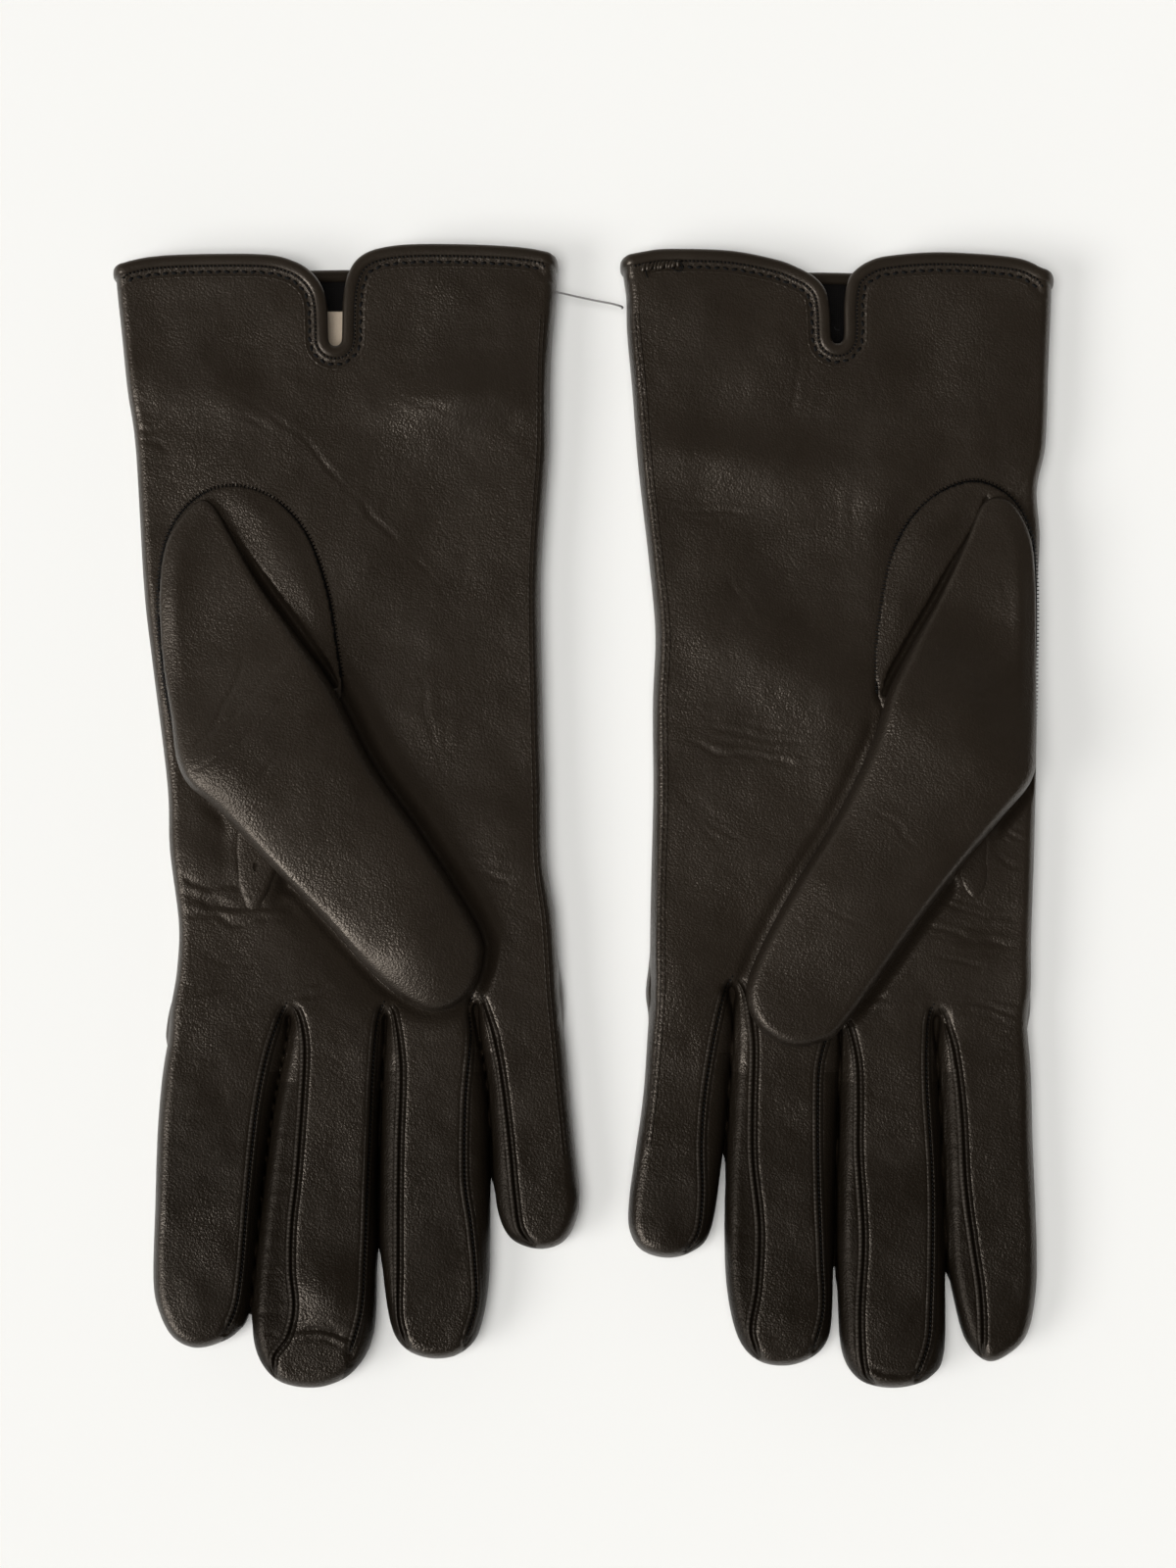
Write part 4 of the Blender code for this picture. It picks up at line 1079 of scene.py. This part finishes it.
def leather_material(name, dark, light, roughness, grain=1.0, specular=0.5):
    """Fine-grained leather, with painted shade that makes it a little darker down the fingers."""
    nodes = Nodes(name)
    patches = nodes.noise(38, 3, 0.55)
    fine = nodes.noise(900, 2, 0.6)
    broad = nodes.span(patches, 0.3, 0.7, 0.0, 0.7)
    tone = nodes.work("ADD", broad, nodes.span(fine, 0.35, 0.65, 0.0, 0.3))
    parts = nodes.add("ShaderNodeSeparateXYZ")
    nodes.fill(parts.inputs["Vector"], nodes.place)
    # Painted shade: the colour is darkened down the fingers.
    fingers = nodes.span(parts.outputs["Y"], FINGER_SHADE_TO, FINGER_SHADE_FROM, 1.0, 0.0)
    base = nodes.mixed(tone, dark, light)
    nodes.shade("Base Color", nodes.mixed(fingers, base, FINGER_SHADE, "MULTIPLY"))
    worn = nodes.span(nodes.noise(60, 3, 0.6), 0.35, 0.65, roughness - 0.05, roughness + 0.07)
    nodes.shade("Roughness", worn)
    pebbles = nodes.work("MULTIPLY", nodes.cells(1750), -0.6)
    pores = nodes.work("MULTIPLY", nodes.cells(3300), -0.25)
    wrinkles = nodes.noise(420, 4, 0.6, nodes.stretched((1.0, 2.3, 1.0), 0.35))
    folds = nodes.noise(520, 3, 0.55, nodes.stretched((2.4, 1.0, 1.0), -0.5))
    height = nodes.work("ADD", pebbles, pores)
    for lines, weight in ((wrinkles, 0.42), (folds, 0.25)):
        height = nodes.work("ADD", height, nodes.work("MULTIPLY", lines, weight))
    strength = nodes.span(nodes.noise(45, 2, 0.5), 0.35, 0.65, 0.55, 1.0)
    height = nodes.work("MULTIPLY", height, strength)
    nodes.bump(height, 0.64 * grain, 0.0003)
    nodes.shade("Specular IOR Level", specular)
    nodes.shade("Specular Tint", (1.0, 0.87, 0.74))
    return nodes.material


def cloth_material(name, dark, light, scale, roughness):
    """A plain weave."""
    nodes = Nodes(name)
    height = nodes.work("MULTIPLY", nodes.bands("X", scale), nodes.bands("Y", scale))
    nodes.shade("Base Color", nodes.mixed(nodes.noise(300, 3, 0.6), dark, light))
    nodes.bump(height, 0.5, 0.0001)
    nodes.shade("Roughness", roughness)
    return nodes.material


def thread_material(name, dark, light, roughness):
    """Twisted thread."""
    nodes = Nodes(name)
    twist = nodes.bands("DIAGONAL", 1100)
    nodes.shade("Base Color", nodes.mixed(twist, dark, light))
    nodes.bump(twist, 0.4, 0.00005)
    nodes.shade("Roughness", roughness)
    nodes.shade("Specular IOR Level", 0.2)
    return nodes.material


# Each look is a material and the slot of the record that it stands for. The strips between the fingers and
# the seams' pinched edges are duller than the rest of the leather, and darker with painted shade, where they
# lie between the fingers and in the seams' grooves.
LEATHER = (
    leather_material("leather", (0.0125, 0.009, 0.0061), (0.0168, 0.0124, 0.0086), 0.37),
    "leather",
)
DULL_SHADED_LEATHER = (
    leather_material("dull_shaded_leather", (0.0105, 0.0076, 0.0052), (0.014, 0.0104, 0.0072), 0.45, 1.0, 0.17),
    "leather",
)
# Painted shade: the seams' pinched edges are a darker copy of the leather.
SEAM_SHADED_LEATHER = (
    leather_material("seam_leather", (0.0085, 0.0062, 0.0042), (0.0115, 0.0084, 0.0058), 0.48, 0.5, 0.25),
    "leather",
)
BINDING = (
    leather_material("binding_leather", (0.0122, 0.0089, 0.0061), (0.0168, 0.0124, 0.0086), 0.34, 0.45),
    "binding_leather",
)
LINING = (cloth_material("lining", (0.0035, 0.0032, 0.003), (0.007, 0.0062, 0.006), 700, 0.95), "lining")
THREAD = (thread_material("thread", (0.0012, 0.001, 0.0009), (0.003, 0.0026, 0.0022), 0.7), "thread")
TIE = (thread_material("tie_thread", (0.16, 0.155, 0.15), (0.3, 0.29, 0.28), 0.5), "thread")
LABEL = (
    cloth_material("label_cloth", (0.52, 0.42, 0.31), (0.66, 0.55, 0.43), 900, 0.9),
    "label_cloth",
)


def finish(piece, look, body=None, bend=None, replaces=()):
    """Gives a piece its material, parents it to its body unless it bends, when its place is baked into its
    mesh, and hides the parts it stands for.
    """
    material, slot = look
    piece.data.materials.clear()
    piece.data.materials.append(material)
    if bend is None:
        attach(piece, body)
    else:
        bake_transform(piece)
    if replaces:
        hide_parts(*replaces)


def finger_bend(glove, finger):
    shape = glove["fingers"][finger]
    x = np.mean([point[0] for point in shape["outline"]]) * MM
    y = shape["hinge_y"]
    name = glove["name"]
    start = (x, (y + FINGER_BEND) * MM, FINGER_BEND_Z * MM)
    end = (x, (y - FINGER_BEND) * MM, FINGER_BEND_Z * MM)
    return f"{name}_palm", f"{name}_{finger}_finger", start, end


def thumb_bend(glove):
    name = glove["name"]
    bend = np.array([*glove["bend"], THUMB_BEND_Z])
    way = np.array([*glove["way"], 0.0])
    start = tuple((bend - way * THUMB_BEND) * MM)
    end = tuple((bend + way * THUMB_BEND) * MM)
    return f"{name}_palm", f"{name}_thumb", start, end


# --- Sewn details -----------------------------------------------------------------------------------

# Cross-sections, as distance across and height above the leather: a finger seam, the channel of the
# cuff's stitches and the side seam. Then half the binding's thickness.
WELT = [
    (-1.5, -0.25), (-1.15, 0.0), (-0.8, 0.05), (-0.52, 0.06), (-0.34, -0.02), (-0.22, -0.3), (-0.13, -0.9),
    (0.13, -0.9), (0.22, -0.25), (0.36, 0.02), (0.56, 0.1), (0.84, 0.06), (1.15, 0.02), (1.5, -0.25),
]
CHANNEL = [
    (-1.7, -0.25), (-1.3, 0.02), (-0.9, 0.08), (-0.6, -0.08), (-0.3, -0.5), (0.3, -0.5), (0.6, -0.08),
    (0.9, 0.1), (1.3, 0.03), (1.7, -0.25),
]
SIDE_RIDGE = [
    (-1.1, -0.4), (-0.7, 0.02), (-0.4, 0.12), (-0.22, -0.05), (-0.12, -0.55), (0.12, -0.55), (0.22, -0.05),
    (0.4, 0.14), (0.7, 0.03), (1.1, -0.4),
]
BAND_HALF = 1.2

# Draped strips: the step along them, and how far and over what length their ends sink.
STRIP_STEP = 0.3
STRIP_SINK = 0.6
STRIP_FADE = 4.0


def draped_strip(path, profile, top_of, pucker, pitch=1.1):
    """A narrow strip along a path whose profile rides on the surface below it."""
    path = even_path(path, STRIP_STEP)
    left = left_of(ways_of(path))
    across, lift = np.array(profile).T
    along = np.arange(len(path)) * STRIP_STEP
    ends = smooth_step(0, STRIP_FADE, along) * smooth_step(0, STRIP_FADE, along[-1] - along)
    x = path[:, :1] + left[:, :1] * across
    y = path[:, 1:] + left[:, 1:] * across
    wave = pucker * np.cos(2 * math.pi * along / pitch)[:, None] * bell(across, 0.9)
    z = top_of(x, y) + (lift + wave + STRIP_SINK) * ends[:, None] - STRIP_SINK
    points = np.stack([x, y, z], axis=-1).reshape(-1, 3)
    faces = grid_faces(len(path), len(profile))[:, ::-1]
    return points, faces


def capsule(start, end, radius, sides=6):
    """A short thread stitch between two points, as points and quads."""
    start = np.array(start, float)
    end = np.array(end, float)
    way = end - start
    length = np.linalg.norm(way)
    way = way / length
    side = np.cross(way, (0, 0, 1.0))
    side /= np.linalg.norm(side)
    up = np.cross(side, way)
    angles = 2 * math.pi * np.arange(sides) / sides
    rings = []
    for place, size in ((0.0, 0.05), (0.12, 0.75), (0.35, 1.0), (0.65, 1.0), (0.88, 0.75), (1.0, 0.05)):
        centre = start + way * length * place
        ring = np.outer(np.cos(angles), side) + np.outer(np.sin(angles), up)
        rings.append(centre + ring * radius * size)
    return np.vstack(rings), grid_faces(len(rings), sides, wrap_columns=True)


def joined(pieces):
    """Several meshes of quads as one."""
    points, faces = zip(*pieces)
    firsts = np.cumsum([0] + [len(part) for part in points[:-1]])
    return np.vstack(points), np.vstack([part + first for part, first in zip(faces, firsts)])


def swept_band(path, normals, profile):
    """A closed loop swept along a closed path. The profile is in (out of the cuff, out of the sheet)."""
    ways = ways_of(path, closed=True)
    outward = np.cross(normals, ways)
    outward /= np.linalg.norm(outward, axis=1, keepdims=True)
    across, lift = (part[None, :, None] for part in np.array(profile).T)
    rings = path[:, None, :] + outward[:, None, :] * across + normals[:, None, :] * lift
    points = rings.reshape(-1, 3)
    return points, grid_faces(len(path), len(profile), wrap_rows=True, wrap_columns=True)


def band_profile():
    """Cross-section of the rolled binding: rounded at the edge, flat towards the seam."""
    outline = []
    for angle in np.linspace(-90, 90, 9):
        turn = math.radians(angle)
        outline.append((-1.1 + 1.2 * math.cos(turn), BAND_HALF * math.sin(turn)))
    outline += [(-1.8, BAND_HALF + 0.02), (-2.4, BAND_HALF - 0.08), (-2.75, BAND_HALF - 0.3),
                (-2.9, BAND_HALF - 0.85), (-2.9, -BAND_HALF + 0.85), (-2.75, -BAND_HALF + 0.3),
                (-2.4, -BAND_HALF + 0.08), (-1.8, -BAND_HALF - 0.02)]
    return outline


def cuff_loop(glove, plan):
    """The cuff's edge as a loop through the middle of the leather, with the leather's normals."""
    radius = PALM_EDGE - 0.5 * WALL
    reach = EDGE_REACH - 0.5 * SIDE_WALL
    flat = PALM_HALF - PALM_EDGE
    lowest = BAND_HALF + 0.05
    front = even_path(plan["edge"], 0.45)
    back = smooth_path(glove["cuff_back"], 1.2)[::-1]
    left_x = front[0][0] + EDGE_REACH
    right_x = front[-1][0] - EDGE_REACH
    front = front[(front[:, 0] > left_x) & (front[:, 0] < right_x)]
    back = back[(back[:, 0] > left_x) & (back[:, 0] < right_x)]
    stretches = []
    normals = []

    def level(path, side):
        """A stretch along the front of the cuff, where side is 1, or along its back, where it is -1."""
        height = max(PALM_MIDDLE + side * (flat + radius), lowest)
        stretches.append(np.column_stack([path, np.full(len(path), height)]))
        normals.append(np.tile((0.0, 0.0, float(side)), (len(path), 1)))

    def turned(centre_x, from_y, to_y, angles):
        """The turn round one side of the cuff."""
        part = np.linspace(0, 1, len(angles))
        y = from_y + (to_y - from_y) * part
        rise = np.clip(np.sin(angles) / 0.35, -1, 1) * flat
        x = centre_x + reach * np.cos(angles)
        z = np.maximum(PALM_MIDDLE + radius * np.sin(angles) + rise, lowest)
        stretches.append(np.column_stack([x, y, z]))
        way = np.column_stack([np.cos(angles) / reach, np.zeros(len(angles)), np.sin(angles) / radius])
        normals.append(way / np.linalg.norm(way, axis=1, keepdims=True))

    level(front, 1)
    turned(right_x, front[-1][1], back[0][1], np.linspace(math.pi / 2, -math.pi / 2, 22)[1:-1])
    level(back, -1)
    turned(left_x, back[-1][1], front[0][1], np.linspace(1.5 * math.pi, 0.5 * math.pi, 22)[1:-1])
    return np.vstack(stretches), np.vstack(normals)


def smoothed_loop(path, passes):
    for _ in range(passes):
        path = 0.25 * np.roll(path, 1, axis=0) + 0.5 * path + 0.25 * np.roll(path, -1, axis=0)
    return path


def inset_edge(plan, inset):
    """The line inside the cuff's front edge at an even distance from it, with sharp inner corners."""
    edge = even_path(plan["edge"], 0.3)
    moved = edge - left_of(ways_of(edge)) * inset
    distance = plan["sheet"].read(plan["front"], moved[:, 0], moved[:, 1])
    kept = moved[distance < -inset + 0.12]
    return even_path(kept, 0.3)


def stitch_row(path, top_of, pitch, length, radius, sink=0.05, sway=0.0):
    """Single stitches along a path, lying on the surface."""
    path = even_path(path, pitch)
    ways = ways_of(path)[1:-1]
    places = path[1:-1]
    turns = np.where(np.arange(len(places)) % 2, sway, -sway)[:, None]
    sides = left_of(ways) * turns
    starts = places - ways * length / 2 + sides
    ends = places + ways * length / 2 - sides
    starts = np.column_stack([starts, top_of(starts[:, 0], starts[:, 1]) - sink])
    ends = np.column_stack([ends, top_of(ends[:, 0], ends[:, 1]) - sink])
    return [capsule(start, end, radius) for start, end in zip(starts, ends)]


def thread_run(points, radius):
    """A loose bit of thread through the points."""
    path = even_path(smooth_path(points, 0.3), 0.45)
    return [capsule(start, end, radius) for start, end in zip(path[:-1], path[1:])]


# --- Build ------------------------------------------------------------------------------------------


def build_glove(glove):
    """All the pieces of one glove."""
    plan = plan_of(glove)
    skin, inside = palm_skin(glove, plan)
    points, faces, _ = skin
    middle = points[faces].mean(axis=1)

    def top_of(x, y):
        return plan["sheet"].read(plan["top"], x, y) + palm_relief(glove, x, y, plan)

    # Which finger each face belongs to, from the lines down the gaps between fingers.
    high_y, low_y = GAP_LINE_Y
    down = high_y - middle[:, 1]
    gaps = [high + (low - high) * down / (high_y - low_y) for high, low in glove["gap_lines"]]
    order = sum((middle[:, 0] > gap).astype(int) for gap in gaps)
    slope = top_of_slope(glove, top_of)
    taken = np.zeros(len(faces), bool)
    for number, (finger, shape) in enumerate(glove["fingers"].items()):
        mine = (order == number) & (middle[:, 1] < shape["hinge_y"] + FINGER_BEND + 0.5)
        taken |= mine
        build_finger(glove, finger, skin, middle, mine)
        build_finger_seams(glove, finger, slope)

    name = glove["name"]
    palm_body = f"{name}_palm"
    palm = panel(f"{name}_trank_leather", skin, ~taken & ~inside)
    forks = [f"{name}_fork_{number}" for number in (1, 2, 3)]
    finish(palm, LEATHER, palm_body, replaces=[f"{name}_trank", *forks])
    lining = panel(f"{name}_lining_cloth", skin, inside & ~taken)
    finish(lining, LINING, palm_body, replaces=[f"{name}_palm_lining"])
    build_thumb(glove)
    build_quirk(glove)
    build_cuff(glove, plan, top_of)
    build_side_seam(glove, top_of)


def build_finger(glove, finger, skin, middle, mine):
    """A finger's panels: a strip down each side that has a seam, and its front and back."""
    bend = finger_bend(glove, finger)
    node = f"{glove['name']}_{finger}"
    seams = glove["fingers"][finger]["seams"]
    back = middle[:, 2] < BACK_TOP
    rest = mine.copy()
    for side, seam in seams.items():
        distance = np.zeros(len(middle))
        distance[mine] = near_path(middle[mine, 0], middle[mine, 1], smooth_path(seam, 1.0))[0]
        wall = (distance < 0 if side == "left" else distance > 0) & ~back & mine
        whole = f"{node}_fourchette" if len(seams) == 1 else f"{node}_fourchette_{side}"
        # The strips between the fingers get the darker leather: painted shade.
        finish(panel(f"{whole}_leather", skin, wall), DULL_SHADED_LEATHER, bend=bend, replaces=[whole])
        rest &= ~wall
    if finger == "index":
        sheets = {"trank": (rest, ["trank", "lining"])}
    else:
        sheets = {"front": (rest & ~back, ["front", "lining"]), "back": (rest & back, ["back"])}
    for sheet, (keep, stands_for) in sheets.items():
        piece = panel(f"{node}_{sheet}_leather", skin, keep)
        finish(piece, LEATHER, bend=bend, replaces=[f"{node}_{part}" for part in stands_for])


def build_finger_seams(glove, finger, slope):
    """The pinched edges of a finger's seams, and the stitches that show beside the right-hand one."""
    bend = finger_bend(glove, finger)
    node = f"{glove['name']}_{finger}"
    for side, seam in glove["fingers"][finger]["seams"].items():
        path = smooth_path(seam, 1.0)
        piece = mesh_object(f"{node}_{side}_seam", *draped_strip(path, WELT, slope, 0.1))
        # The seam's strip is darker leather: painted shade in its groove.
        finish(piece, SEAM_SHADED_LEATHER, bend=bend)
        if side == "right":
            stitches = stitch_row(path, slope, 1.05, 0.6, 0.2, sink=0.12)
            finish(mesh_object(f"{node}_seam_stitches", *joined(stitches)), THREAD, bend=bend)


def top_of_slope(glove, top_of):
    """The palm's upper face with the fall of the fourchettes, but not the seam channels."""

    def read(x, y):
        relief = np.zeros(x.shape)
        for near, outward, along in along_seams(glove, x, y, 5):
            relief[near] += smooth_step(0, 5, along) * fourchette_relief(x[near], y[near], outward)
        return top_of(x, y) + relief

    return read


def build_thumb(glove):
    """The folded thumb, the oval base it grows from, the stitches round that and a dark line of painted
    shade along its seam.
    """
    name = glove["name"]
    plan = thumb_plan(glove)
    seed = 30 if glove is RIGHT else 34

    def flap_relief(x, y):
        relief = crease_relief(x, y, glove["thumb_creases"]) + swell_relief(x, y, glove["thumb_swells"])
        relief += 0.6 * slack_relief(x, y, seed)
        inward = -plan["sheet"].read(plan["flap"], x, y)
        crown = 1 - np.exp(-np.maximum(inward, 0) / 5.5)
        beyond = past_bend(glove, x, y)
        crown *= smooth_step(-18, 8, beyond) * (1 - glove["tip_flat"] * smooth_step(45, 75, beyond))
        return relief * smooth_step(0, 5, inward) + THUMB_CROWN * crown

    def oval_relief(x, y):
        return 0.15 * soft_noise(x, y, 9, seed)

    flap = lying_skin(plan, plan["flap"], plan["half"], plan["edge"], flap_relief)
    replaces = [f"{name}_thumb", f"{name}_thumb_lining"]
    finish(mesh_object(f"{name}_thumb_leather", *flap), LEATHER, bend=thumb_bend(glove), replaces=replaces)
    oval = lying_skin(plan, plan["oval"], plan["oval_half"], plan["oval_edge"], oval_relief)
    piece = mesh_object(f"{name}_thumb_base_leather", *oval)
    finish(piece, LEATHER, f"{name}_palm", replaces=[f"{name}_thumb_base"])

    # Overcast stitches across the oval seam, and a dark thread sunk along it that is painted shade for the
    # seam's gap.
    ring = even_path(smooth_path(glove["oval"], 0.8, closed=True), 0.95)
    ticks_and_gap_shade = []
    for place, after, way in zip(ring, np.roll(ring, -1, axis=0), ways_of(ring)):
        if past_bend(glove, *place) > 2:
            continue
        out = np.array([way[1], -way[0]])
        start = (*(place - out * 0.45), THUMB_FLOOR + 1.3)
        end = (*(place + out * 0.85), THUMB_FLOOR)
        ticks_and_gap_shade.append(capsule(start, end, 0.17, 5))
        # Painted shade: a dark tube along the seam's gap.
        ticks_and_gap_shade.append(capsule((*place, THUMB_FLOOR + 0.1), (*after, THUMB_FLOOR + 0.1), 0.3, 5))
    finish(mesh_object(f"{name}_oval_stitching_and_gap_shade", *joined(ticks_and_gap_shade)), THREAD, f"{name}_palm")


def build_quirk(glove):
    """The quirk, a small tongue of leather let into the palm below the thumb."""
    name = glove["name"]
    outline = smooth_path(glove["quirk"], 0.4)
    centre = outline.mean(axis=0)
    rings = []
    for shrink, lift in ((1.08, -0.5), (1.0, -0.1), (0.93, 0.28), (0.8, 0.42), (0.5, 0.5), (0.1, 0.5)):
        ring = centre + (outline - centre) * shrink
        rings.append(np.column_stack([ring, np.full(len(ring), PALM_TOP + lift)]))
    points = np.vstack(rings)
    faces = grid_faces(len(rings), len(outline), wrap_columns=True)
    corner = points[faces[0]]
    if np.cross(corner[1] - corner[0], corner[3] - corner[0])[2] < 0:
        faces = faces[:, ::-1]
    piece = mesh_object(f"{name}_quirk_leather", points, faces)
    finish(piece, LEATHER, f"{name}_palm", replaces=[f"{name}_quirk"])


def build_cuff(glove, plan, top_of):
    """The rolled binding round the cuff and the two rows of stitches inside it."""
    name = glove["name"]
    palm_body = f"{name}_palm"
    loop, normals = cuff_loop(glove, plan)
    loop = smoothed_loop(loop, 3)
    normals = smoothed_loop(normals, 4)
    normals /= np.linalg.norm(normals, axis=1, keepdims=True)
    piece = mesh_object(f"{name}_cuff_binding_leather", *swept_band(loop, normals, band_profile()))
    finish(piece, BINDING, palm_body, replaces=[f"{name}_cuff_binding"])

    stitch_line = inset_edge(plan, STITCH_INSET)
    channel = draped_strip(stitch_line, CHANNEL, top_of, -0.1, STITCH_PITCH)
    finish(mesh_object(f"{name}_cuff_channel_leather", *channel), LEATHER, palm_body)

    stitches = stitch_row(stitch_line, top_of, STITCH_PITCH, 1.6, 0.5, sink=0.2, sway=0.24)
    stitches += stitch_row(inset_edge(plan, BINDING_INSET), top_of, 0.95, 0.7, 0.26, sink=-0.05)
    if glove is LEFT:
        stitches += loose_threads()
        finish(mesh_object("left_cuff_backtack", *joined(backtack())), BINDING, palm_body)
    piece = mesh_object(f"{name}_cuff_stitches", *joined(stitches))
    finish(piece, THREAD, palm_body, replaces=[f"{name}_cuff_stitching"])


def backtack():
    """The lumpy oversewn start of the left cuff's binding."""
    lumps = []
    for number in range(10):
        x = 14.6 + 0.92 * number
        lean = 0.45 * math.sin(2.3 * number)
        start = (x - 0.3 + lean, 132.5 + 0.12 * number, PALM_TOP + 0.1)
        end = (x + 0.4 - 0.5 * lean, 134.7 + 0.1 * number, PALM_TOP + 0.4)
        lumps.append(capsule(start, end, 0.52 + 0.1 * math.sin(1.7 * number), 8))
    return lumps


def loose_threads():
    """The loop and the tail at the start of the left cuff's stitching, and a thread end in its notch."""
    loop = [(21.5, 133.6, 13.1), (23.2, 132.6, 13.2), (24.2, 133.6, 13.35), (23.4, 134.9, 13.4),
            (21.9, 135.2, 13.4)]
    tail = [(16.2, 133.9, 13.1), (15.2, 132.6, 13.0), (15.6, 131.2, 12.9)]
    left_over = [(61.1, 119.3, 11.9), (61.8, 118.4, 12.3), (62.5, 118.6, 12.5)]
    return [piece for points in (loop, tail, left_over) for piece in thread_run(points, 0.19)]


def build_side_seam(glove, top_of):
    """The seam down the little finger's side of the palm, from below the cuff's stitches."""
    name = glove["name"]
    path = smooth_path(glove["side_seam"], 1.0)
    path = path[path[:, 1] < 126] + np.array([glove["side_seam_in"] * 1.9, 0])
    strip = draped_strip(path, SIDE_RIDGE, top_of, 0.08, 1.7)
    piece = mesh_object(f"{name}_side_seam_leather", *strip)
    # Darker seam leather: painted shade.
    finish(piece, SEAM_SHADED_LEATHER, f"{name}_palm", replaces=[f"{name}_side_seam"])


def build_label():
    """The blank cloth label inside the right cuff, a single curved sheet."""
    low = np.array(LABEL_LOW)
    high = np.array(LABEL_HIGH)
    width, length = high[:2] - low[:2]
    columns = np.linspace(low[0], high[0], 16)
    rows = np.linspace(low[1], high[1], 20)
    y, x = np.meshgrid(rows, columns, indexing="ij")
    z = 0.5 * (low[2] + high[2]) + 0.25 * np.sin((x - low[0]) / width * math.pi)
    points = np.stack([x, y, z], axis=-1).reshape(-1, 3)
    piece = mesh_object("right_label_cloth", points, grid_faces(len(rows), len(columns))[:, ::-1])
    thick = piece.modifiers.new("thickness", "SOLIDIFY")
    thick.thickness = 0.2 * MM
    finish(piece, LABEL, "right_palm", replaces=["right_label"])


def build_tie():
    """The thin thread that ties the cuffs together."""
    route = smooth_path(TIE_ROUTE, 0.0006)
    curve = bpy.data.curves.new("tie_thread_cord", "CURVE")
    curve.dimensions = "3D"
    curve.bevel_depth = TIE_DIAMETER / 2
    curve.bevel_resolution = 2
    curve.use_fill_caps = True
    spline = curve.splines.new("POLY")
    spline.points.add(len(route) - 1)
    for point, place in zip(spline.points, route):
        point.co = (*place, 1)
    piece = bpy.data.objects.new("tie_thread_cord", curve)
    bpy.context.scene.collection.objects.link(piece)
    finish(piece, TIE, "right_palm", replaces=["tie_thread"])


# --- Stage ------------------------------------------------------------------------------------------

# Half the width of the floor.
FLOOR_HALF = 3000


def build_world(scene):
    """A studio that is dark straight overhead, and brighter towards the horizon on the left."""
    world = bpy.data.worlds.new("studio")
    world.use_nodes = True
    tree = world.node_tree
    place = tree.nodes.new("ShaderNodeTexCoord")
    parts = tree.nodes.new("ShaderNodeSeparateXYZ")
    tree.links.new(place.outputs["Generated"], parts.inputs["Vector"])
    both = tree.nodes.new("ShaderNodeMath")
    both.operation = "MULTIPLY"
    ramps = (("Z", "SMOOTHSTEP", (0.2, 0.9, 0.44, 0.05)), ("X", "LINEAR", (-0.5, 0.8, 1.0, 0.3)))
    for factor, (axis, kind, numbers) in zip(both.inputs, ramps):
        ramp = tree.nodes.new("ShaderNodeMapRange")
        ramp.interpolation_type = kind
        for socket, number in zip(RANGE_SOCKETS, numbers):
            ramp.inputs[socket].default_value = number
        tree.links.new(parts.outputs[axis], ramp.inputs["Value"])
        tree.links.new(ramp.outputs["Result"], factor)
    background = tree.nodes["Background"]
    background.inputs["Color"].default_value = (1.0, 0.99, 0.975, 1)
    tree.links.new(both.outputs["Value"], background.inputs["Strength"])
    scene.world = world


def build_stage():
    """The floor, the lights and the camera, which looks straight down."""
    scene = bpy.context.scene
    scene.view_settings.view_transform = "Standard"
    corners = [(-FLOOR_HALF, -FLOOR_HALF, 0), (FLOOR_HALF, -FLOOR_HALF, 0),
               (FLOOR_HALF, FLOOR_HALF, 0), (-FLOOR_HALF, FLOOR_HALF, 0)]
    floor = mesh_object("floor", corners, [(0, 1, 2, 3)])
    pale = bpy.data.materials.new("floor")
    pale.use_nodes = True
    shader = pale.node_tree.nodes["Principled BSDF"]
    shader.inputs["Base Color"].default_value = (0.865, 0.858, 0.831, 1)
    shader.inputs["Roughness"].default_value = 0.9
    shader.inputs["Specular IOR Level"].default_value = 0.0
    floor.data.materials.append(pale)

    def sun(name, towards, strength, spread, gloss):
        """A lamp that is seen only in reflections, for the sheen, or only in diffuse light."""
        lamp = bpy.data.lights.new(name, "SUN")
        lamp.energy = strength
        lamp.angle = math.radians(spread)
        item = bpy.data.objects.new(name, lamp)
        direction = np.array(towards, float)
        direction /= np.linalg.norm(direction)
        item.rotation_euler = (0, math.acos(direction[2]), math.atan2(direction[1], direction[0]))
        item.visible_glossy = gloss
        item.visible_diffuse = not gloss
        scene.collection.objects.link(item)

    sun("sheen", (-0.66, -0.4, 0.62), 2.7, 25, gloss=True)
    sun("side", (-0.7, -0.25, 0.62), 1.2, 30, gloss=False)
    sun("overhead", (-0.12, -0.04, 1.0), 2.31, 30, gloss=False)
    build_world(scene)

    camera = bpy.data.cameras.new("camera")
    camera.lens = 100
    camera.sensor_width = 36
    item = bpy.data.objects.new("camera", camera)
    item.location = (0.0011, 0.0079, 1.073)
    scene.collection.objects.link(item)
    scene.camera = item


build_stage()
build_tie()
build_label()
for glove in GLOVES:
    build_glove(glove)
